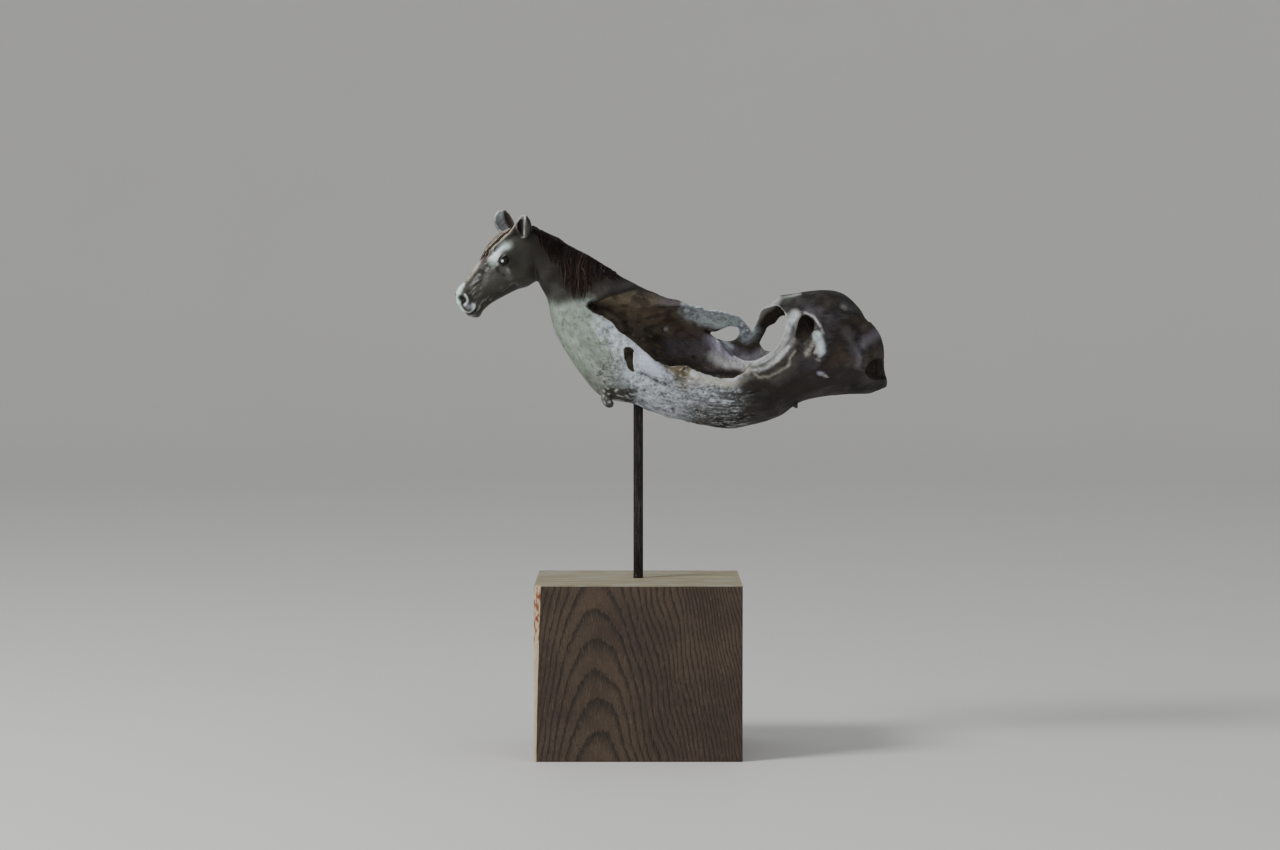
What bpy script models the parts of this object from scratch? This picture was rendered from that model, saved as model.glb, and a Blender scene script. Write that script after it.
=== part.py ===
"""A small sculpture: a horse's head and neck growing out of a hollow driftwood body, on a rod and a block.

Run it with blender --background --python part.py, or from the text editor. Metres, +Z up. The origin is the
middle of the block's underside. The horse looks along -X, and its open flank, the near side, faces -Y.

The figure is drawn in its own millimetres: x along the body, y in depth and z up, measured from the point
where the rod enters its underside. to_world() scales them to FIGURE_LENGTH and sets them on the rod.
"""

import math

import bmesh
import bpy
import numpy as np
from mathutils import Vector, noise
from mathutils.bvhtree import BVHTree

MM = 0.001

# Sizes of the stand
BLOCK_WIDTH = 105 * MM
BLOCK_DEPTH = 90 * MM
BLOCK_HEIGHT = 89 * MM
BLOCK_EDGE = 0.6 * MM
CHIP_AT_TOP = 3.4 * MM
CHIP_AT_FOOT = 1.0 * MM
ROD_DIAMETER = 5 * MM
ROD_FREE_LENGTH = 89 * MM
ROD_IN_BLOCK = 35 * MM
ROD_IN_FIGURE = 8 * MM
ROD_EDGE = 0.3 * MM
FIT_GAP = 0.3 * MM
BORE_DIAMETER = ROD_DIAMETER + 2 * FIT_GAP
ROUND_STEPS = 28

# Sizes of the figure
FIGURE_LENGTH = 221 * MM
DRAWN_LENGTH = 221
WALL = 2.6 * MM
FIGURE_TRIANGLES = 9050
HEAD_FAVOUR = 0.00001
KEEP_WEIGHT = 0.0001
GRAIN = 0.62 * MM
SMOOTHINGS = 3
FEATURE_SMOOTHINGS = 1

FIGURE_UNIT = FIGURE_LENGTH / DRAWN_LENGTH
WALL_DRAWN = WALL / FIGURE_UNIT
# How many walls thick the wood over the rod's end is
ROD_BOSS = (ROD_IN_FIGURE + 1.5 * WALL) / WALL
ROD_MOUTH = Vector((0, 0, BLOCK_HEIGHT + ROD_FREE_LENGTH))

# The whole outer skin from the poll to the rump, in slices across its own line. Each row is the slice's
# top x and z, bottom x and z, half width, and how much narrower it is towards the top.
SKIN = np.array([
    (-54.5, 92.2, -51.0, 62.2, 8.8, 0.45),
    (-42.8, 86.0, -46.8, 54.5, 10.0, 0.50),
    (-34.5, 81.4, -45.3, 47.8, 11.4, 0.50),
    (-25.0, 76.6, -42.7, 37.5, 13.6, 0.55),
    (-15.5, 70.6, -37.1, 27.2, 17.0, 0.55),
    (-6.8, 65.2, -28.9, 15.4, 20.0, 0.50),
    (3.5, 60.6, -18.1, 4.1, 22.5, 0.40),
    (13.8, 57.3, -1.6, 0.0, 24.5, 0.25),
    (26.6, 55.5, 15.3, -5.7, 26.5, 0.15),
    (39.5, 55.0, 34.3, -10.5, 27.5, 0.10),
    (54.9, 55.0, 53.3, -11.0, 27.5, 0.10),
    (70.3, 56.0, 70.3, -6.4, 27.0, 0.10),
    (83.1, 58.3, 83.1, 1.0, 26.5, 0.10),
    (96.0, 59.1, 96.0, 4.9, 25.0, 0.10),
    (107.8, 55.5, 108.8, 5.4, 22.0, 0.10),
    (117.5, 45.2, 119.1, 5.7, 17.5, 0.10),
    (123.7, 36.5, 126.8, 8.7, 11.0, 0.10),
    (125.0, 30.3, 128.1, 10.8, 6.0, 0.10),
])

SKIN_SLICES = 170
SKIN_STEPS = 112

# Marks pressed in to or raised from the skin, seen from the near side: side (-1 near, 1 far), the line of
# x and z that the mark follows, its reach and its height. A height below 0 is a hollow.
SKIN_MARKS = [
    (-1, [(79.0, 45.0), (78.6, 40.0), (76.8, 35.0), (73.5, 29.0), (69.0, 24.0), (64.0, 20.5)], 5.0, -1.4),
    (-1, [(83.8, 47.0), (88.0, 47.5), (91.5, 43.0), (90.5, 36.0), (86.0, 29.0)], 2.6, 0.9),
    (-1, [(62.0, 52.5), (66.0, 54.5), (72.0, 56.8)], 3.0, 0.8),
    (-1, [(72.0, 53.0), (78.0, 55.0)], 4.0, -1.0),
    (-1, [(106.0, 38.0), (109.0, 31.0), (108.0, 22.0)], 6.0, 1.3),
    (-1, [(111.5, 34.0), (114.5, 28.5)], 3.0, -1.5),
    (-1, [(115.0, 39.0), (119.5, 33.0), (122.0, 27.5)], 4.5, 1.5),
    (1, [(112.0, 44.0), (119.0, 38.0), (123.0, 28.0)], 6.0, 1.2),
    (-1, [(96.0, 27.0), (101.0, 40.0)], 8.0, -0.9),
    (-1, [(84.0, 25.0), (79.0, 18.0), (70.0, 12.0)], 5.0, 1.1),
    (-1, [(-5.5, 20.0), (4.0, 14.0), (16.0, 9.0)], 5.0, -0.8),
    (-1, [(-2.0, 25.0), (7.0, 17.5), (16.0, 14.0)], 4.0, 0.7),
    (-1, [(-35.0, 50.0), (-30.0, 40.0), (-22.0, 28.0)], 8.0, 0.8),
    (-1, [(-40.0, 66.0), (-30.0, 60.0), (-22.0, 56.0)], 7.0, -0.9),
    (1, [(20.0, 30.0), (50.0, 22.0), (80.0, 25.0)], 9.0, 0.5),
    (1, [(30.0, 8.0), (60.0, 4.0), (90.0, 12.0)], 8.0, 1.2),
    (1, [(92.0, 30.0), (104.0, 38.0)], 9.0, -1.2),
    (1, [(-36.0, 62.0), (-22.0, 52.0)], 8.0, -0.8),
]

# The hollow, by the slice of SKIN that it is under. Each row is the slice's number, then what the wall
# keeps at the bottom, top, far and near side, as a multiple of WALL.
HOLLOW = np.array([
    (4.10, 9.5, 7.6, 9.0, 3.0),
    (4.40, 8.2, 6.8, 8.5, 2.2),
    (5.00, 6.4, 4.8, 6.2, 1.6),
    (6.00, ROD_BOSS + 0.3, 3.3, 3.1, 1.1),
    (7.00, ROD_BOSS, 1.9, 1.5, 1.0),
    (8.00, ROD_BOSS * 0.4, 1.2, 1.0, 1.0),
    (9.00, 1.3, 1.2, 1.0, 1.0),
    (10.0, 1.3, 1.2, 1.0, 1.0),
    (11.0, 1.4, 1.2, 1.0, 1.0),
    (12.0, 2.3, 1.3, 1.5, 1.2),
    (12.7, 4.6, 2.8, 2.7, 1.8),
    (13.2, 8.2, 6.0, 6.0, 5.0),
])

# Edges of the broken openings, seen from the near side, as x and z
NEAR_RIM = [
    (-26.6, 51.6), (-22.3, 47.3), (-18.4, 46.2), (-13.2, 42.8), (-10.2, 38.5), (-3.7, 34.3), (2.9, 28.0),
    (8.8, 23.2), (16.0, 19.9), (18.9, 21.0), (24.5, 20.8), (32.4, 17.0), (40.2, 14.6), (48.1, 14.5),
    (52.8, 16.7), (57.4, 22.6), (61.8, 24.4), (66.3, 27.1), (69.2, 29.1), (71.6, 32.4), (73.4, 36.0),
    (74.8, 40.6), (75.1, 45.2),
]
# The opening's upper edge on the skin, and where its upper side runs in behind the near rim: x, depth y, z
OPENING_TOP = [
    (-26.0, -12.0, 54.5), (-22.0, -12.5, 58.0), (-17.5, -11.5, 60.5), (-11.0, -8.5, 60.5), (-4.0, -4.5, 61.5),
    (4.0, 0.0, 66.0), (11.0, 3.0, 74.0), (32.0, 6.0, 76.0), (59.0, 6.0, 68.0), (60.5, 2.0, 49.0),
    (65.7, 0.0, 49.8), (70.8, -2.0, 51.1), (74.4, -8.0, 48.3),
]
OPENING_DEEP = [
    (-24.5, -7.0, 51.5), (-20.0, -2.0, 50.0), (-15.5, 3.0, 48.3), (-9.8, 7.0, 44.5),
    (-3.0, 10.0, 38.5), (3.5, 12.0, 33.0), (11.0, 13.0, 28.0), (22.0, 13.0, 24.0), (59.0, 6.0, 30.0),
    (61.5, 2.0, 47.3), (65.7, 0.0, 48.8), (70.8, -2.0, 49.1), (74.4, -8.0, 46.3),
]
FAR_RIM = [
    (3.5, 61.4), (8.8, 58.8), (16.6, 55.9), (24.5, 52.4), (30.4, 50.7), (36.3, 48.9), (42.2, 48.6),
    (48.1, 46.9), (52.0, 45.3), (55.9, 42.2), (57.9, 39.4), (59.1, 36.7), (59.7, 39.6), (61.0, 42.6),
    (62.1, 45.2), (63.1, 48.8), (65.7, 50.3), (69.8, 52.9), (72.8, 55.7),
]
FAR_HOLE = [
    (35.1, 35.4), (36.4, 37.1), (40.2, 37.7), (44.2, 39.4), (48.1, 40.2), (51.6, 39.4), (52.0, 35.5),
    (50.0, 33.1), (46.1, 32.6), (41.0, 33.9),
]
FAR_WINDOW = [
    (73.8, 45.5), (70.8, 42.0), (67.6, 40.1), (65.9, 37.1), (64.3, 33.8), (63.3, 31.5), (64.6, 29.0),
    (67.7, 27.2), (74.9, 27.2), (78.5, 33.4), (79.0, 41.6), (77.5, 45.7),
]
FLANK_WINDOW = [
    (82.5, 45.1), (85.4, 46.5), (88.7, 43.9), (89.6, 40.6), (87.2, 36.2), (85.2, 31.8), (84.0, 30.9),
    (81.0, 34.1), (79.5, 34.7), (81.0, 40.6),
]
CHEST_HOLE = [
    (-6.8, 29.8), (-4.7, 30.1), (-2.2, 28.8), (-2.7, 25.2), (-2.4, 22.1), (-2.2, 18.0), (-4.7, 19.0),
    (-6.3, 22.6), (-7.0, 26.2),
]
RUMP_NOTCH = [(114.0, 50.0), (116.4, 44.6), (118.8, 42.6), (119.6, 46.5)]

# The broken bowl in the rump: its middle and its reach along x, y and z
RUMP_BOWL = (122.5, -8.0, 19.0)
RUMP_BOWL_REACH = (10.5, 12.5, 6.0)

# The saddle that crosses the hollow: its upper edge and its foot, as x, y and z
SADDLE_EDGE = [
    (31.0, 22.5, 41.0), (38.4, 18.5, 34.9), (42.5, 13.0, 32.1), (46.1, 7.0, 28.3), (49.7, 0.0, 24.8),
    (57.4, -9.0, 23.0), (66.2, -17.0, 26.7), (71.8, -21.0, 32.9), (75.5, -24.0, 42.6),
]
SADDLE_FOOT = [
    (24.0, 24.5, 26.0), (31.0, 22.0, 14.0), (37.0, 16.0, 5.0), (42.0, 8.0, -3.0), (47.0, -3.0, -5.5),
    (53.0, -13.0, 0.0), (62.0, -20.5, 6.0), (72.0, -24.0, 16.0), (80.0, -25.5, 28.0),
]


# The head, from the poll to the lips: u, its top and bottom w, then the half width near the top, at the
# brow, at the cheek and at the jaw. u runs forward, v to the far side and w up from HEAD_ORIGIN.
HEAD_ORIGIN = (-57.1, 0.0, 79.6)
HEAD_YAW, HEAD_PITCH, HEAD_ROLL = 27, 39, 5
HEAD_SLICES = 84
HEAD_STEPS = 72
HEAD = np.array([
    (-15.0, -3.5, -9.0, 2.4, 4.4, 4.6, 2.6),
    (-7.0, 9.4, -11.5, 4.2, 7.2, 7.8, 4.6),
    (2.0, 13.8, -15.8, 4.6, 7.8, 8.0, 4.8),
    (10.0, 15.0, -15.5, 4.6, 8.0, 8.2, 4.8),
    (17.0, 14.8, -12.5, 4.7, 8.6, 7.6, 4.2),
    (25.0, 12.8, -10.4, 3.6, 6.5, 6.2, 3.6),
    (32.0, 10.9, -8.9, 2.9, 5.0, 4.9, 3.0),
    (38.0, 9.7, -8.6, 2.8, 4.6, 4.7, 3.2),
    (42.5, 9.3, -9.3, 3.0, 5.0, 5.2, 3.9),
    (46.0, 6.8, -6.6, 2.6, 4.4, 4.6, 3.2),
    (47.4, 2.8, -2.8, 1.4, 2.4, 2.4, 1.6),
])
# Marks on both sides of the head: u, v and w of the middle, reach and height
HEAD_MARKS = [
    (15.5, 8.0, 10.2, 4.6, 1.0),
    (17.3, 8.8, 6.6, 4.2, -0.7),
    (22.5, 7.2, 3.6, 4.5, 0.6),
    (27.0, 6.2, 2.6, 4.0, 0.5),
    (30.0, 4.8, 6.8, 5.0, -0.7),
    (9.0, 8.0, -5.0, 9.5, 1.1),
    (9.5, 6.6, 12.0, 4.0, -0.8),
    (20.0, 5.0, -8.5, 4.5, -0.8),
    (43.4, 4.8, 5.2, 3.6, 0.9),
    (40.5, 5.0, -0.5, 3.0, 0.4),
    (42.5, 0.0, -8.8, 3.5, 0.5),
    (38.0, 4.0, -4.0, 3.4, -0.5),
]
# Grooves on both sides of the head: the line of u, v and w, its reach and its depth
HEAD_GROOVES = [
    ([(47.6, 0, -3.8), (45.6, 3.6, -4.0), (41.2, 5.4, -3.8)], 1.6, 1.2),
    ([(46.2, 2.4, 6.4), (45.7, 3.4, 4.7), (45.6, 4.1, 3.2)], 2.1, 2.8),
    ([(42.4, 5.4, 5.4), (42.6, 5.6, 2.6), (44.0, 5.2, 0.4)], 1.6, 0.5),
]
# How far the head's middle line bends towards the neck's, behind the poll
HEAD_BEND = 0.4
BEND_FROM = 3
EYE = (17.2, 7.8, 7.4)
EYE_RADIUS = 2.75
LID_RADIUS = 0.6
NOSTRIL_RIM = [(44.2, 3.9, 6.8), (43.7, 4.7, 5.0), (44.4, 4.9, 2.9), (45.9, 4.1, 1.8)]
UPPER_LIP = [(47.0, 0.8, -2.0), (46.0, 3.2, -2.6), (42.4, 5.0, -2.6)]
LOWER_LIP = [(46.0, 0.8, -5.2), (45.0, 2.6, -5.5), (42.0, 4.2, -5.5)]
FOLD_RADIUS = 0.7
# The ears: where both start, then the near and the far one's tip and the way that each opens
EAR_FOOT = (-0.6, 5.8, 9.8)
EAR_TIPS = {-1: (-5.2, -9.7, 19.3), 1: (-4.9, 10.8, 21.4)}
EAR_FACINGS = {-1: (0.99, 0.08, 0.1), 1: (0.15, -0.9, 0.17)}
EAR_SLICES = 16
EAR_STEPS = 17
# An ear from foot to tip: outer radius, inner radius and half the arc that it closes, in degrees
EAR_RADII = [
    (2.8, 0.2, 136), (4.2, 2.8, 116), (4.8, 3.5, 108), (4.8, 3.5, 104), (4.0, 2.8, 100), (2.0, 0.5, 95),
]
# Where head and neck run in to each other, in head millimetres, and where the neck turns in to the hollow
JOINT_SPOTS = [
    (-3, 7, 7), (-3, 8, 0), (-2, 8, -7), (1, 6, -14), (-3, -7, 7), (-3, -8, 0), (-2, -8, -7), (1, -6, -14),
    (3, 0, -17), (-5, 0, 14),
]
TURN_SPOTS = [(-22, -13, 57), (-17, -12, 60), (-11, -9, 60), (-5, -5, 61), (1, -2, 63)]
JOINT_REACH = 11
JOINT_SMOOTHINGS = 90

# The mane, from the poll to the withers: where its locks start and end, as x, y and z
MANE_ROOTS = [
    (-54, 0.5, 92.5), (-48.7, 0.5, 89.8), (-45.5, 0.5, 88.0), (-42.8, 0.5, 86.4), (-39.8, 0.5, 84.8),
    (-36.5, 0.3, 83.0), (-30, 0, 79.5), (-22, -0.3, 74.5), (-12, -0.6, 69.0),
]
MANE_TIPS = [
    (-51.0, -8.0, 88.0), (-43.2, -10.5, 75.1), (-38.1, -12.0, 69.2), (-34.4, -13.0, 61.8),
    (-32.3, -13.5, 55.5), (-29.5, -13.5, 56.5), (-21.9, -12.0, 63.3), (-14.5, -8.0, 66.3), (-8.0, -4.0, 65.5),
]
LOCKS = 22
LOCK_RADIUS = 1.35
LOCK_TAPER = (0.8, 1, 1.1, 1.1, 1.05, 1, 0.9, 0.7, 0.5, 0.2)
FORELOCK_STRANDS = 7
STRAND_RADIUS = 1.2
STRAND_TAPER = (0.7, 1, 1.1, 1.1, 1, 0.95, 0.85, 0.7, 0.5, 0.2)
CORD_STEPS = 10
CHIP_STEPS = 22
# Where the triangles are kept: round these spots of the head, to this reach
FINE_SPOTS = [(16, 0, 4), (44, 0, 0), (-3, 0, 15)]
FINE_REACH = 17


def spline(knots, count, closed=False):
    """Points of a smooth curve through the knots, evenly spaced in its parameter."""
    knots = np.asarray(knots, float)
    spans = len(knots) if closed else len(knots) - 1
    at = np.linspace(0, spans, count, endpoint=not closed)
    return spline_at(knots, at, closed)


def spline_at(knots, at, closed=False):
    """The smooth curve through the knots at the given parameters, where knot number n is at n."""
    knots = np.asarray(knots, float)
    number = len(knots)
    spans = number if closed else number - 1
    first = np.minimum(np.floor(at).astype(int), spans - 1)
    share = (at - first)[:, None]
    if closed:
        a, b, c, d = (knots[(first + step) % number] for step in (-1, 0, 1, 2))
    else:
        b, c = knots[first], knots[first + 1]
        a = np.where((first == 0)[:, None], 2 * b - c, knots[np.maximum(first - 1, 0)])
        d = np.where((first == spans - 1)[:, None], 2 * c - b, knots[np.minimum(first + 2, number - 1)])
    return 0.5 * (
        2 * b
        + (c - a) * share
        + (2 * a - 5 * b + 4 * c - d) * share**2
        + (3 * b - a - 3 * c + d) * share**3
    )


def along(points, count):
    """The same line of points with its points evenly spaced along it."""
    points = np.asarray(points, float)
    steps = np.linalg.norm(np.diff(points, axis=0), axis=1)
    walked = np.concatenate([[0], np.cumsum(steps)])
    at = np.linspace(0, walked[-1], count)
    return np.stack([np.interp(at, walked, points[:, axis]) for axis in range(points.shape[1])], axis=1)


def ragged(points, count, amount, seed):
    """The line with evenly spaced points, each set off by a little, as a broken edge is."""
    line = along(points, count)
    for number, point in enumerate(line):
        spot = Vector((point[0] * 0.45, point[1] * 0.45, seed))
        push = noise.noise_vector(spot) + 0.5 * noise.noise_vector(spot * 2.7)
        ends = min(1, number / 3, (count - 1 - number) / 3)
        point[0] += amount * ends * push.x
        point[1] += amount * ends * push.y
    return line


def to_world(points):
    """Figure millimetres to the world."""
    return np.asarray(points, float) * FIGURE_UNIT + np.array(ROD_MOUTH)


def new_mesh(name, points, faces):
    """A mesh object from world points. Faces that point inwards are turned round."""
    mesh = bpy.data.meshes.new(name)
    mesh.from_pydata([tuple(point) for point in points], [], faces)
    body = bmesh.new()
    body.from_mesh(mesh)
    bmesh.ops.recalc_face_normals(body, faces=body.faces)
    if body.calc_volume(signed=True) < 0:
        bmesh.ops.reverse_faces(body, faces=body.faces)
    body.to_mesh(mesh)
    body.free()
    piece = bpy.data.objects.new(name, mesh)
    bpy.context.scene.collection.objects.link(piece)
    return piece


def loft(name, rings):
    """A closed skin over rings of the same number of points, with flat ends."""
    rings = np.asarray(rings, float)
    count, around = rings.shape[:2]
    faces = [tuple(range(around))[::-1], tuple(range((count - 1) * around, count * around))]
    for ring in range(count - 1):
        for step in range(around):
            after = (step + 1) % around
            faces.append((
                ring * around + step,
                ring * around + after,
                (ring + 1) * around + after,
                (ring + 1) * around + step,
            ))
    return new_mesh(name, to_world(rings.reshape(-1, 3)), faces)


def slab(name, outline, y_near, y_far):
    """A flat outline, seen from the near side, with the depth between y_near and y_far."""
    curve = bpy.data.curves.new(name, "CURVE")
    curve.dimensions = "2D"
    curve.fill_mode = "BOTH"
    curve.extrude = (y_far - y_near) / 2 * FIGURE_UNIT
    edge = curve.splines.new("POLY")
    edge.points.add(len(outline) - 1)
    for point, (x, z) in zip(edge.points, outline):
        point.co = (x * FIGURE_UNIT, z * FIGURE_UNIT, 0, 1)
    edge.use_cyclic_u = True
    guide = bpy.data.objects.new(name, curve)
    bpy.context.scene.collection.objects.link(guide)
    guide.rotation_euler = (math.pi / 2, 0, 0)
    guide.location = ROD_MOUTH + Vector((0, (y_near + y_far) / 2 * FIGURE_UNIT, 0))
    return made_mesh(guide)


def made_mesh(piece):
    """A new mesh object with the shape that piece has after its modifiers. The old one is removed."""
    bpy.context.view_layer.update()
    shape = piece.evaluated_get(bpy.context.evaluated_depsgraph_get())
    mesh = bpy.data.meshes.new_from_object(shape)
    mesh.transform(piece.matrix_world)
    body = bmesh.new()
    body.from_mesh(mesh)
    bmesh.ops.remove_doubles(body, verts=body.verts, dist=0.01 * MM)
    body.to_mesh(mesh)
    body.free()
    name = piece.name
    bpy.data.objects.remove(piece)
    made = bpy.data.objects.new(name, mesh)
    bpy.context.scene.collection.objects.link(made)
    return made


def cut(piece, cutters):
    """Piece with every cutter taken out of it, one after the other. The cutters are used up."""
    for cutter in cutters:
        step = piece.modifiers.new(cutter.name, "BOOLEAN")
        step.operation = "DIFFERENCE"
        step.solver = "EXACT"
        step.object = cutter
        piece = made_mesh(piece)
        bpy.data.objects.remove(cutter)
    return piece


# The driftwood body


def ball(name, middle, reach):
    """A round body at a place in the figure, with its reach along x, y and z."""
    bpy.ops.mesh.primitive_uv_sphere_add(segments=24, ring_count=16, radius=FIGURE_UNIT)
    piece = bpy.context.object
    piece.name = name
    piece.scale = reach
    piece.location = to_world(middle)
    return made_mesh(piece)


def slice_rings(rows, around):
    """Rings of the outer skin for rows laid out as SKIN is."""
    turn = np.linspace(0, 2 * math.pi, around, endpoint=False)
    top, bottom = rows[:, None, 0:2], rows[:, None, 2:4]
    middle, half = (top + bottom) / 2, (top - bottom) / 2
    rise = np.cos(turn)[None, :, None]
    side = middle + half * rise
    width = rows[:, 4:5] * np.sin(turn) * (1 - rows[:, 5:6] * (1 + np.cos(turn)) / 2)
    return np.stack([side[..., 0], width, side[..., 1]], axis=-1)


def outward(grid):
    """The outward unit directions of a grid of rings, from its neighbours."""
    along_rings = np.gradient(grid, axis=0)
    padded = np.concatenate([grid[:, -1:], grid, grid[:, :1]], axis=1)
    around_ring = (padded[:, 2:] - padded[:, :-2]) / 2
    out = np.cross(along_rings, around_ring)
    out /= np.linalg.norm(out, axis=2, keepdims=True) + 1e-9
    middle = grid.mean(axis=1, keepdims=True)
    if ((grid - middle) * out).sum() < 0:
        out = -out
    return out


def gap_to_line(points, line):
    """The distance of every point to a line of points."""
    line = np.asarray(line, float)
    if len(line) == 1:
        return np.linalg.norm(points - line[0], axis=-1)
    best = np.full(points.shape[:-1], 1e9)
    for start, end in zip(line[:-1], line[1:]):
        way = end - start
        share = np.clip(((points - start) @ way) / (way @ way), 0, 1)
        best = np.minimum(best, np.linalg.norm(points - start - share[..., None] * way, axis=-1))
    return best


def falloff(gap, reach):
    """1 at the middle of a mark and 0 at its reach, smooth at both."""
    share = np.clip(1 - gap / reach, 0, 1)
    return share * share * (3 - 2 * share)


def body_skin():
    """The outer skin with its marks and the low waves of worn wood."""
    rows = spline(SKIN, SKIN_SLICES)
    grid = slice_rings(rows, SKIN_STEPS)
    out = outward(grid)
    seen = grid[..., [0, 2]]
    push = np.zeros(grid.shape[:2])
    for side, line, reach, height in SKIN_MARKS:
        weight = falloff(gap_to_line(seen, line), reach) * (grid[..., 1] * side > -2)
        push += weight * height
    worn = np.clip((grid[..., 0] + 40) / 40, 0.15, 1)
    for ring in range(grid.shape[0]):
        for step in range(grid.shape[1]):
            spot = Vector(grid[ring, step])
            wave = noise.noise(spot * 0.055) * 1.0 + noise.noise(spot * 0.16) * 0.45
            push[ring, step] += wave * worn[ring, step]
    return loft("body_skin", grid + out * push[..., None])


def hollow():
    """The room inside the body, which keeps the wall that HOLLOW names."""
    rows = spline(HOLLOW, 60)
    skin = spline_at(SKIN, rows[:, 0])
    top, bottom = skin[:, 0:2], skin[:, 2:4]
    line = (top - bottom) / np.linalg.norm(top - bottom, axis=1, keepdims=True)
    bottom = bottom + line * rows[:, 1:2] * WALL_DRAWN
    top = top - line * rows[:, 2:3] * WALL_DRAWN
    far = skin[:, 4] - rows[:, 3] * WALL_DRAWN
    near = skin[:, 4] - rows[:, 4] * WALL_DRAWN
    slices = np.column_stack([top, bottom, (far + near) / 2, skin[:, 5]])
    rings = slice_rings(slices, 48)
    rings[..., 1] += ((far - near) / 2)[:, None]
    return loft("hollow", rings)


def flank_opening():
    """What is missing from the near flank. Its upper side slopes in from the neck to the far wall."""
    columns = 110
    outside = -45.0
    rim = ragged(NEAR_RIM, columns, 0.45, 3.1)
    top = along(OPENING_TOP, columns)
    deep = along(OPENING_DEEP, columns)
    rings = []
    for lower, upper, inner in zip(rim, top, deep):
        halfway = (upper + inner) / 2 - np.array([0.0, 2.2, 0.0])
        rings.append([
            (lower[0], outside, lower[1]),
            (upper[0], outside, upper[2]),
            tuple(upper),
            tuple(halfway),
            tuple(inner),
            (lower[0], inner[1], lower[1]),
        ])
    return loft("flank_opening", rings)


def top_opening():
    """What is missing above the far wall and in front of the dome."""
    edge = [tuple(point) for point in ragged(FAR_RIM, 90, 0.6, 5.7)]
    outline = edge + [(72.8, 90.0), (3.5, 90.0)]
    return slab("top_opening", outline, -45, 45)


def window(name, outline, y_near, y_far, seed):
    """A hole with a broken edge, between the depths y_near and y_far."""
    edge = ragged(spline(outline, 60, closed=True), 48, 0.45, seed)
    return slab(name, edge, y_near, y_far)


def saddle():
    """The sheet that rises from the floor of the hollow and sweeps over to the near flank."""
    thick = WALL_DRAWN * 0.8
    edge, foot = spline(SADDLE_EDGE, 40), spline(SADDLE_FOOT, 40)
    rings = []
    for upper, lower in zip(edge, foot):
        sag = (upper + lower) / 2 + np.array([2.0, 2.5, -1.0])
        line = spline([upper, sag, lower], 9)
        behind = line + np.array([0.75, 0.6, -0.1]) * thick
        rings.append(np.concatenate([line, behind[::-1]]))
    return loft("saddle", rings)


def driftwood():
    windows = [
        window("far_hole", FAR_HOLE, 2, 45, 1.7),
        window("far_window", FAR_WINDOW, -2, 45, 2.9),
        window("flank_window", FLANK_WINDOW, -45, -6, 6.2),
        window("chest_hole", CHEST_HOLE, -45, -12, 9.3),
        window("rump_notch", RUMP_NOTCH, -45, 45, 7.4),
    ]
    bowl = ball("rump_bowl", RUMP_BOWL, RUMP_BOWL_REACH)
    return cut(body_skin(), [hollow(), top_opening(), *windows, bowl, flank_opening()])


def trail(name, path, radii, flat=1.0, across=(0, 1, 0)):
    """A tapered cord along a path in figure millimetres, thinner by flat across the given direction."""
    path = np.asarray(path, float)
    way = np.gradient(path, axis=0)
    way /= np.linalg.norm(way, axis=1, keepdims=True)
    side = np.cross(way, np.asarray(across, float))
    side /= np.linalg.norm(side, axis=1, keepdims=True)
    over = np.cross(side, way)
    turn = np.linspace(0, 2 * math.pi, CORD_STEPS, endpoint=False)[None, :, None]
    spread = side[:, None] * np.cos(turn) + over[:, None] * np.sin(turn) * flat
    rings = path[:, None] + spread * np.asarray(radii, float)[:, None, None]
    return loft(name, rings)


def stubs():
    """The stubs that stand out under the chest and the belly, and the wedge in the flank's window."""
    chest = spline([(-15, -6, 10), (-16.5, -8, 4.5), (-15.0, -9, 1.2), (-12.5, -9, 0.4)], 8)
    belly = spline([(78, -6, 5), (80, -7, 1), (81.5, -7, -1.4)], 6)
    ridge = spline([(84, -24, 26), (86.5, -23.5, 31), (88.5, -22.5, 36)], 8)
    return [
        trail("chest_stub", chest, [4.5, 3.6, 3.0, 2.8, 2.6, 2.4, 2.0, 1.2]),
        trail("belly_stub", belly, [4.0, 3.2, 2.4, 1.7, 1.1, 0.6]),
        trail("window_wedge", ridge, [1.2, 2.2, 2.9, 3.1, 2.8, 2.2, 1.5, 0.8], 0.6),
    ]


# The head


def head_axes():
    """The head's forward, sideways and upward directions in the figure."""
    yaw, pitch, roll = (math.radians(angle) for angle in (HEAD_YAW, HEAD_PITCH, HEAD_ROLL))
    forward = np.array([
        -math.cos(pitch) * math.cos(yaw), -math.cos(pitch) * math.sin(yaw), -math.sin(pitch),
    ])
    level = np.array([-math.sin(yaw), math.cos(yaw), 0])
    upright = np.array([
        -math.sin(pitch) * math.cos(yaw), -math.sin(pitch) * math.sin(yaw), math.cos(pitch),
    ])
    sideways = level * math.cos(roll) + upright * math.sin(roll)
    upward = upright * math.cos(roll) - level * math.sin(roll)
    return np.array([forward, sideways, upward])


def from_head(points):
    """Head millimetres, which are u forward, v to the far side and w up, to figure millimetres."""
    return np.asarray(points, float) @ head_axes() + np.array(HEAD_ORIGIN)


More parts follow.
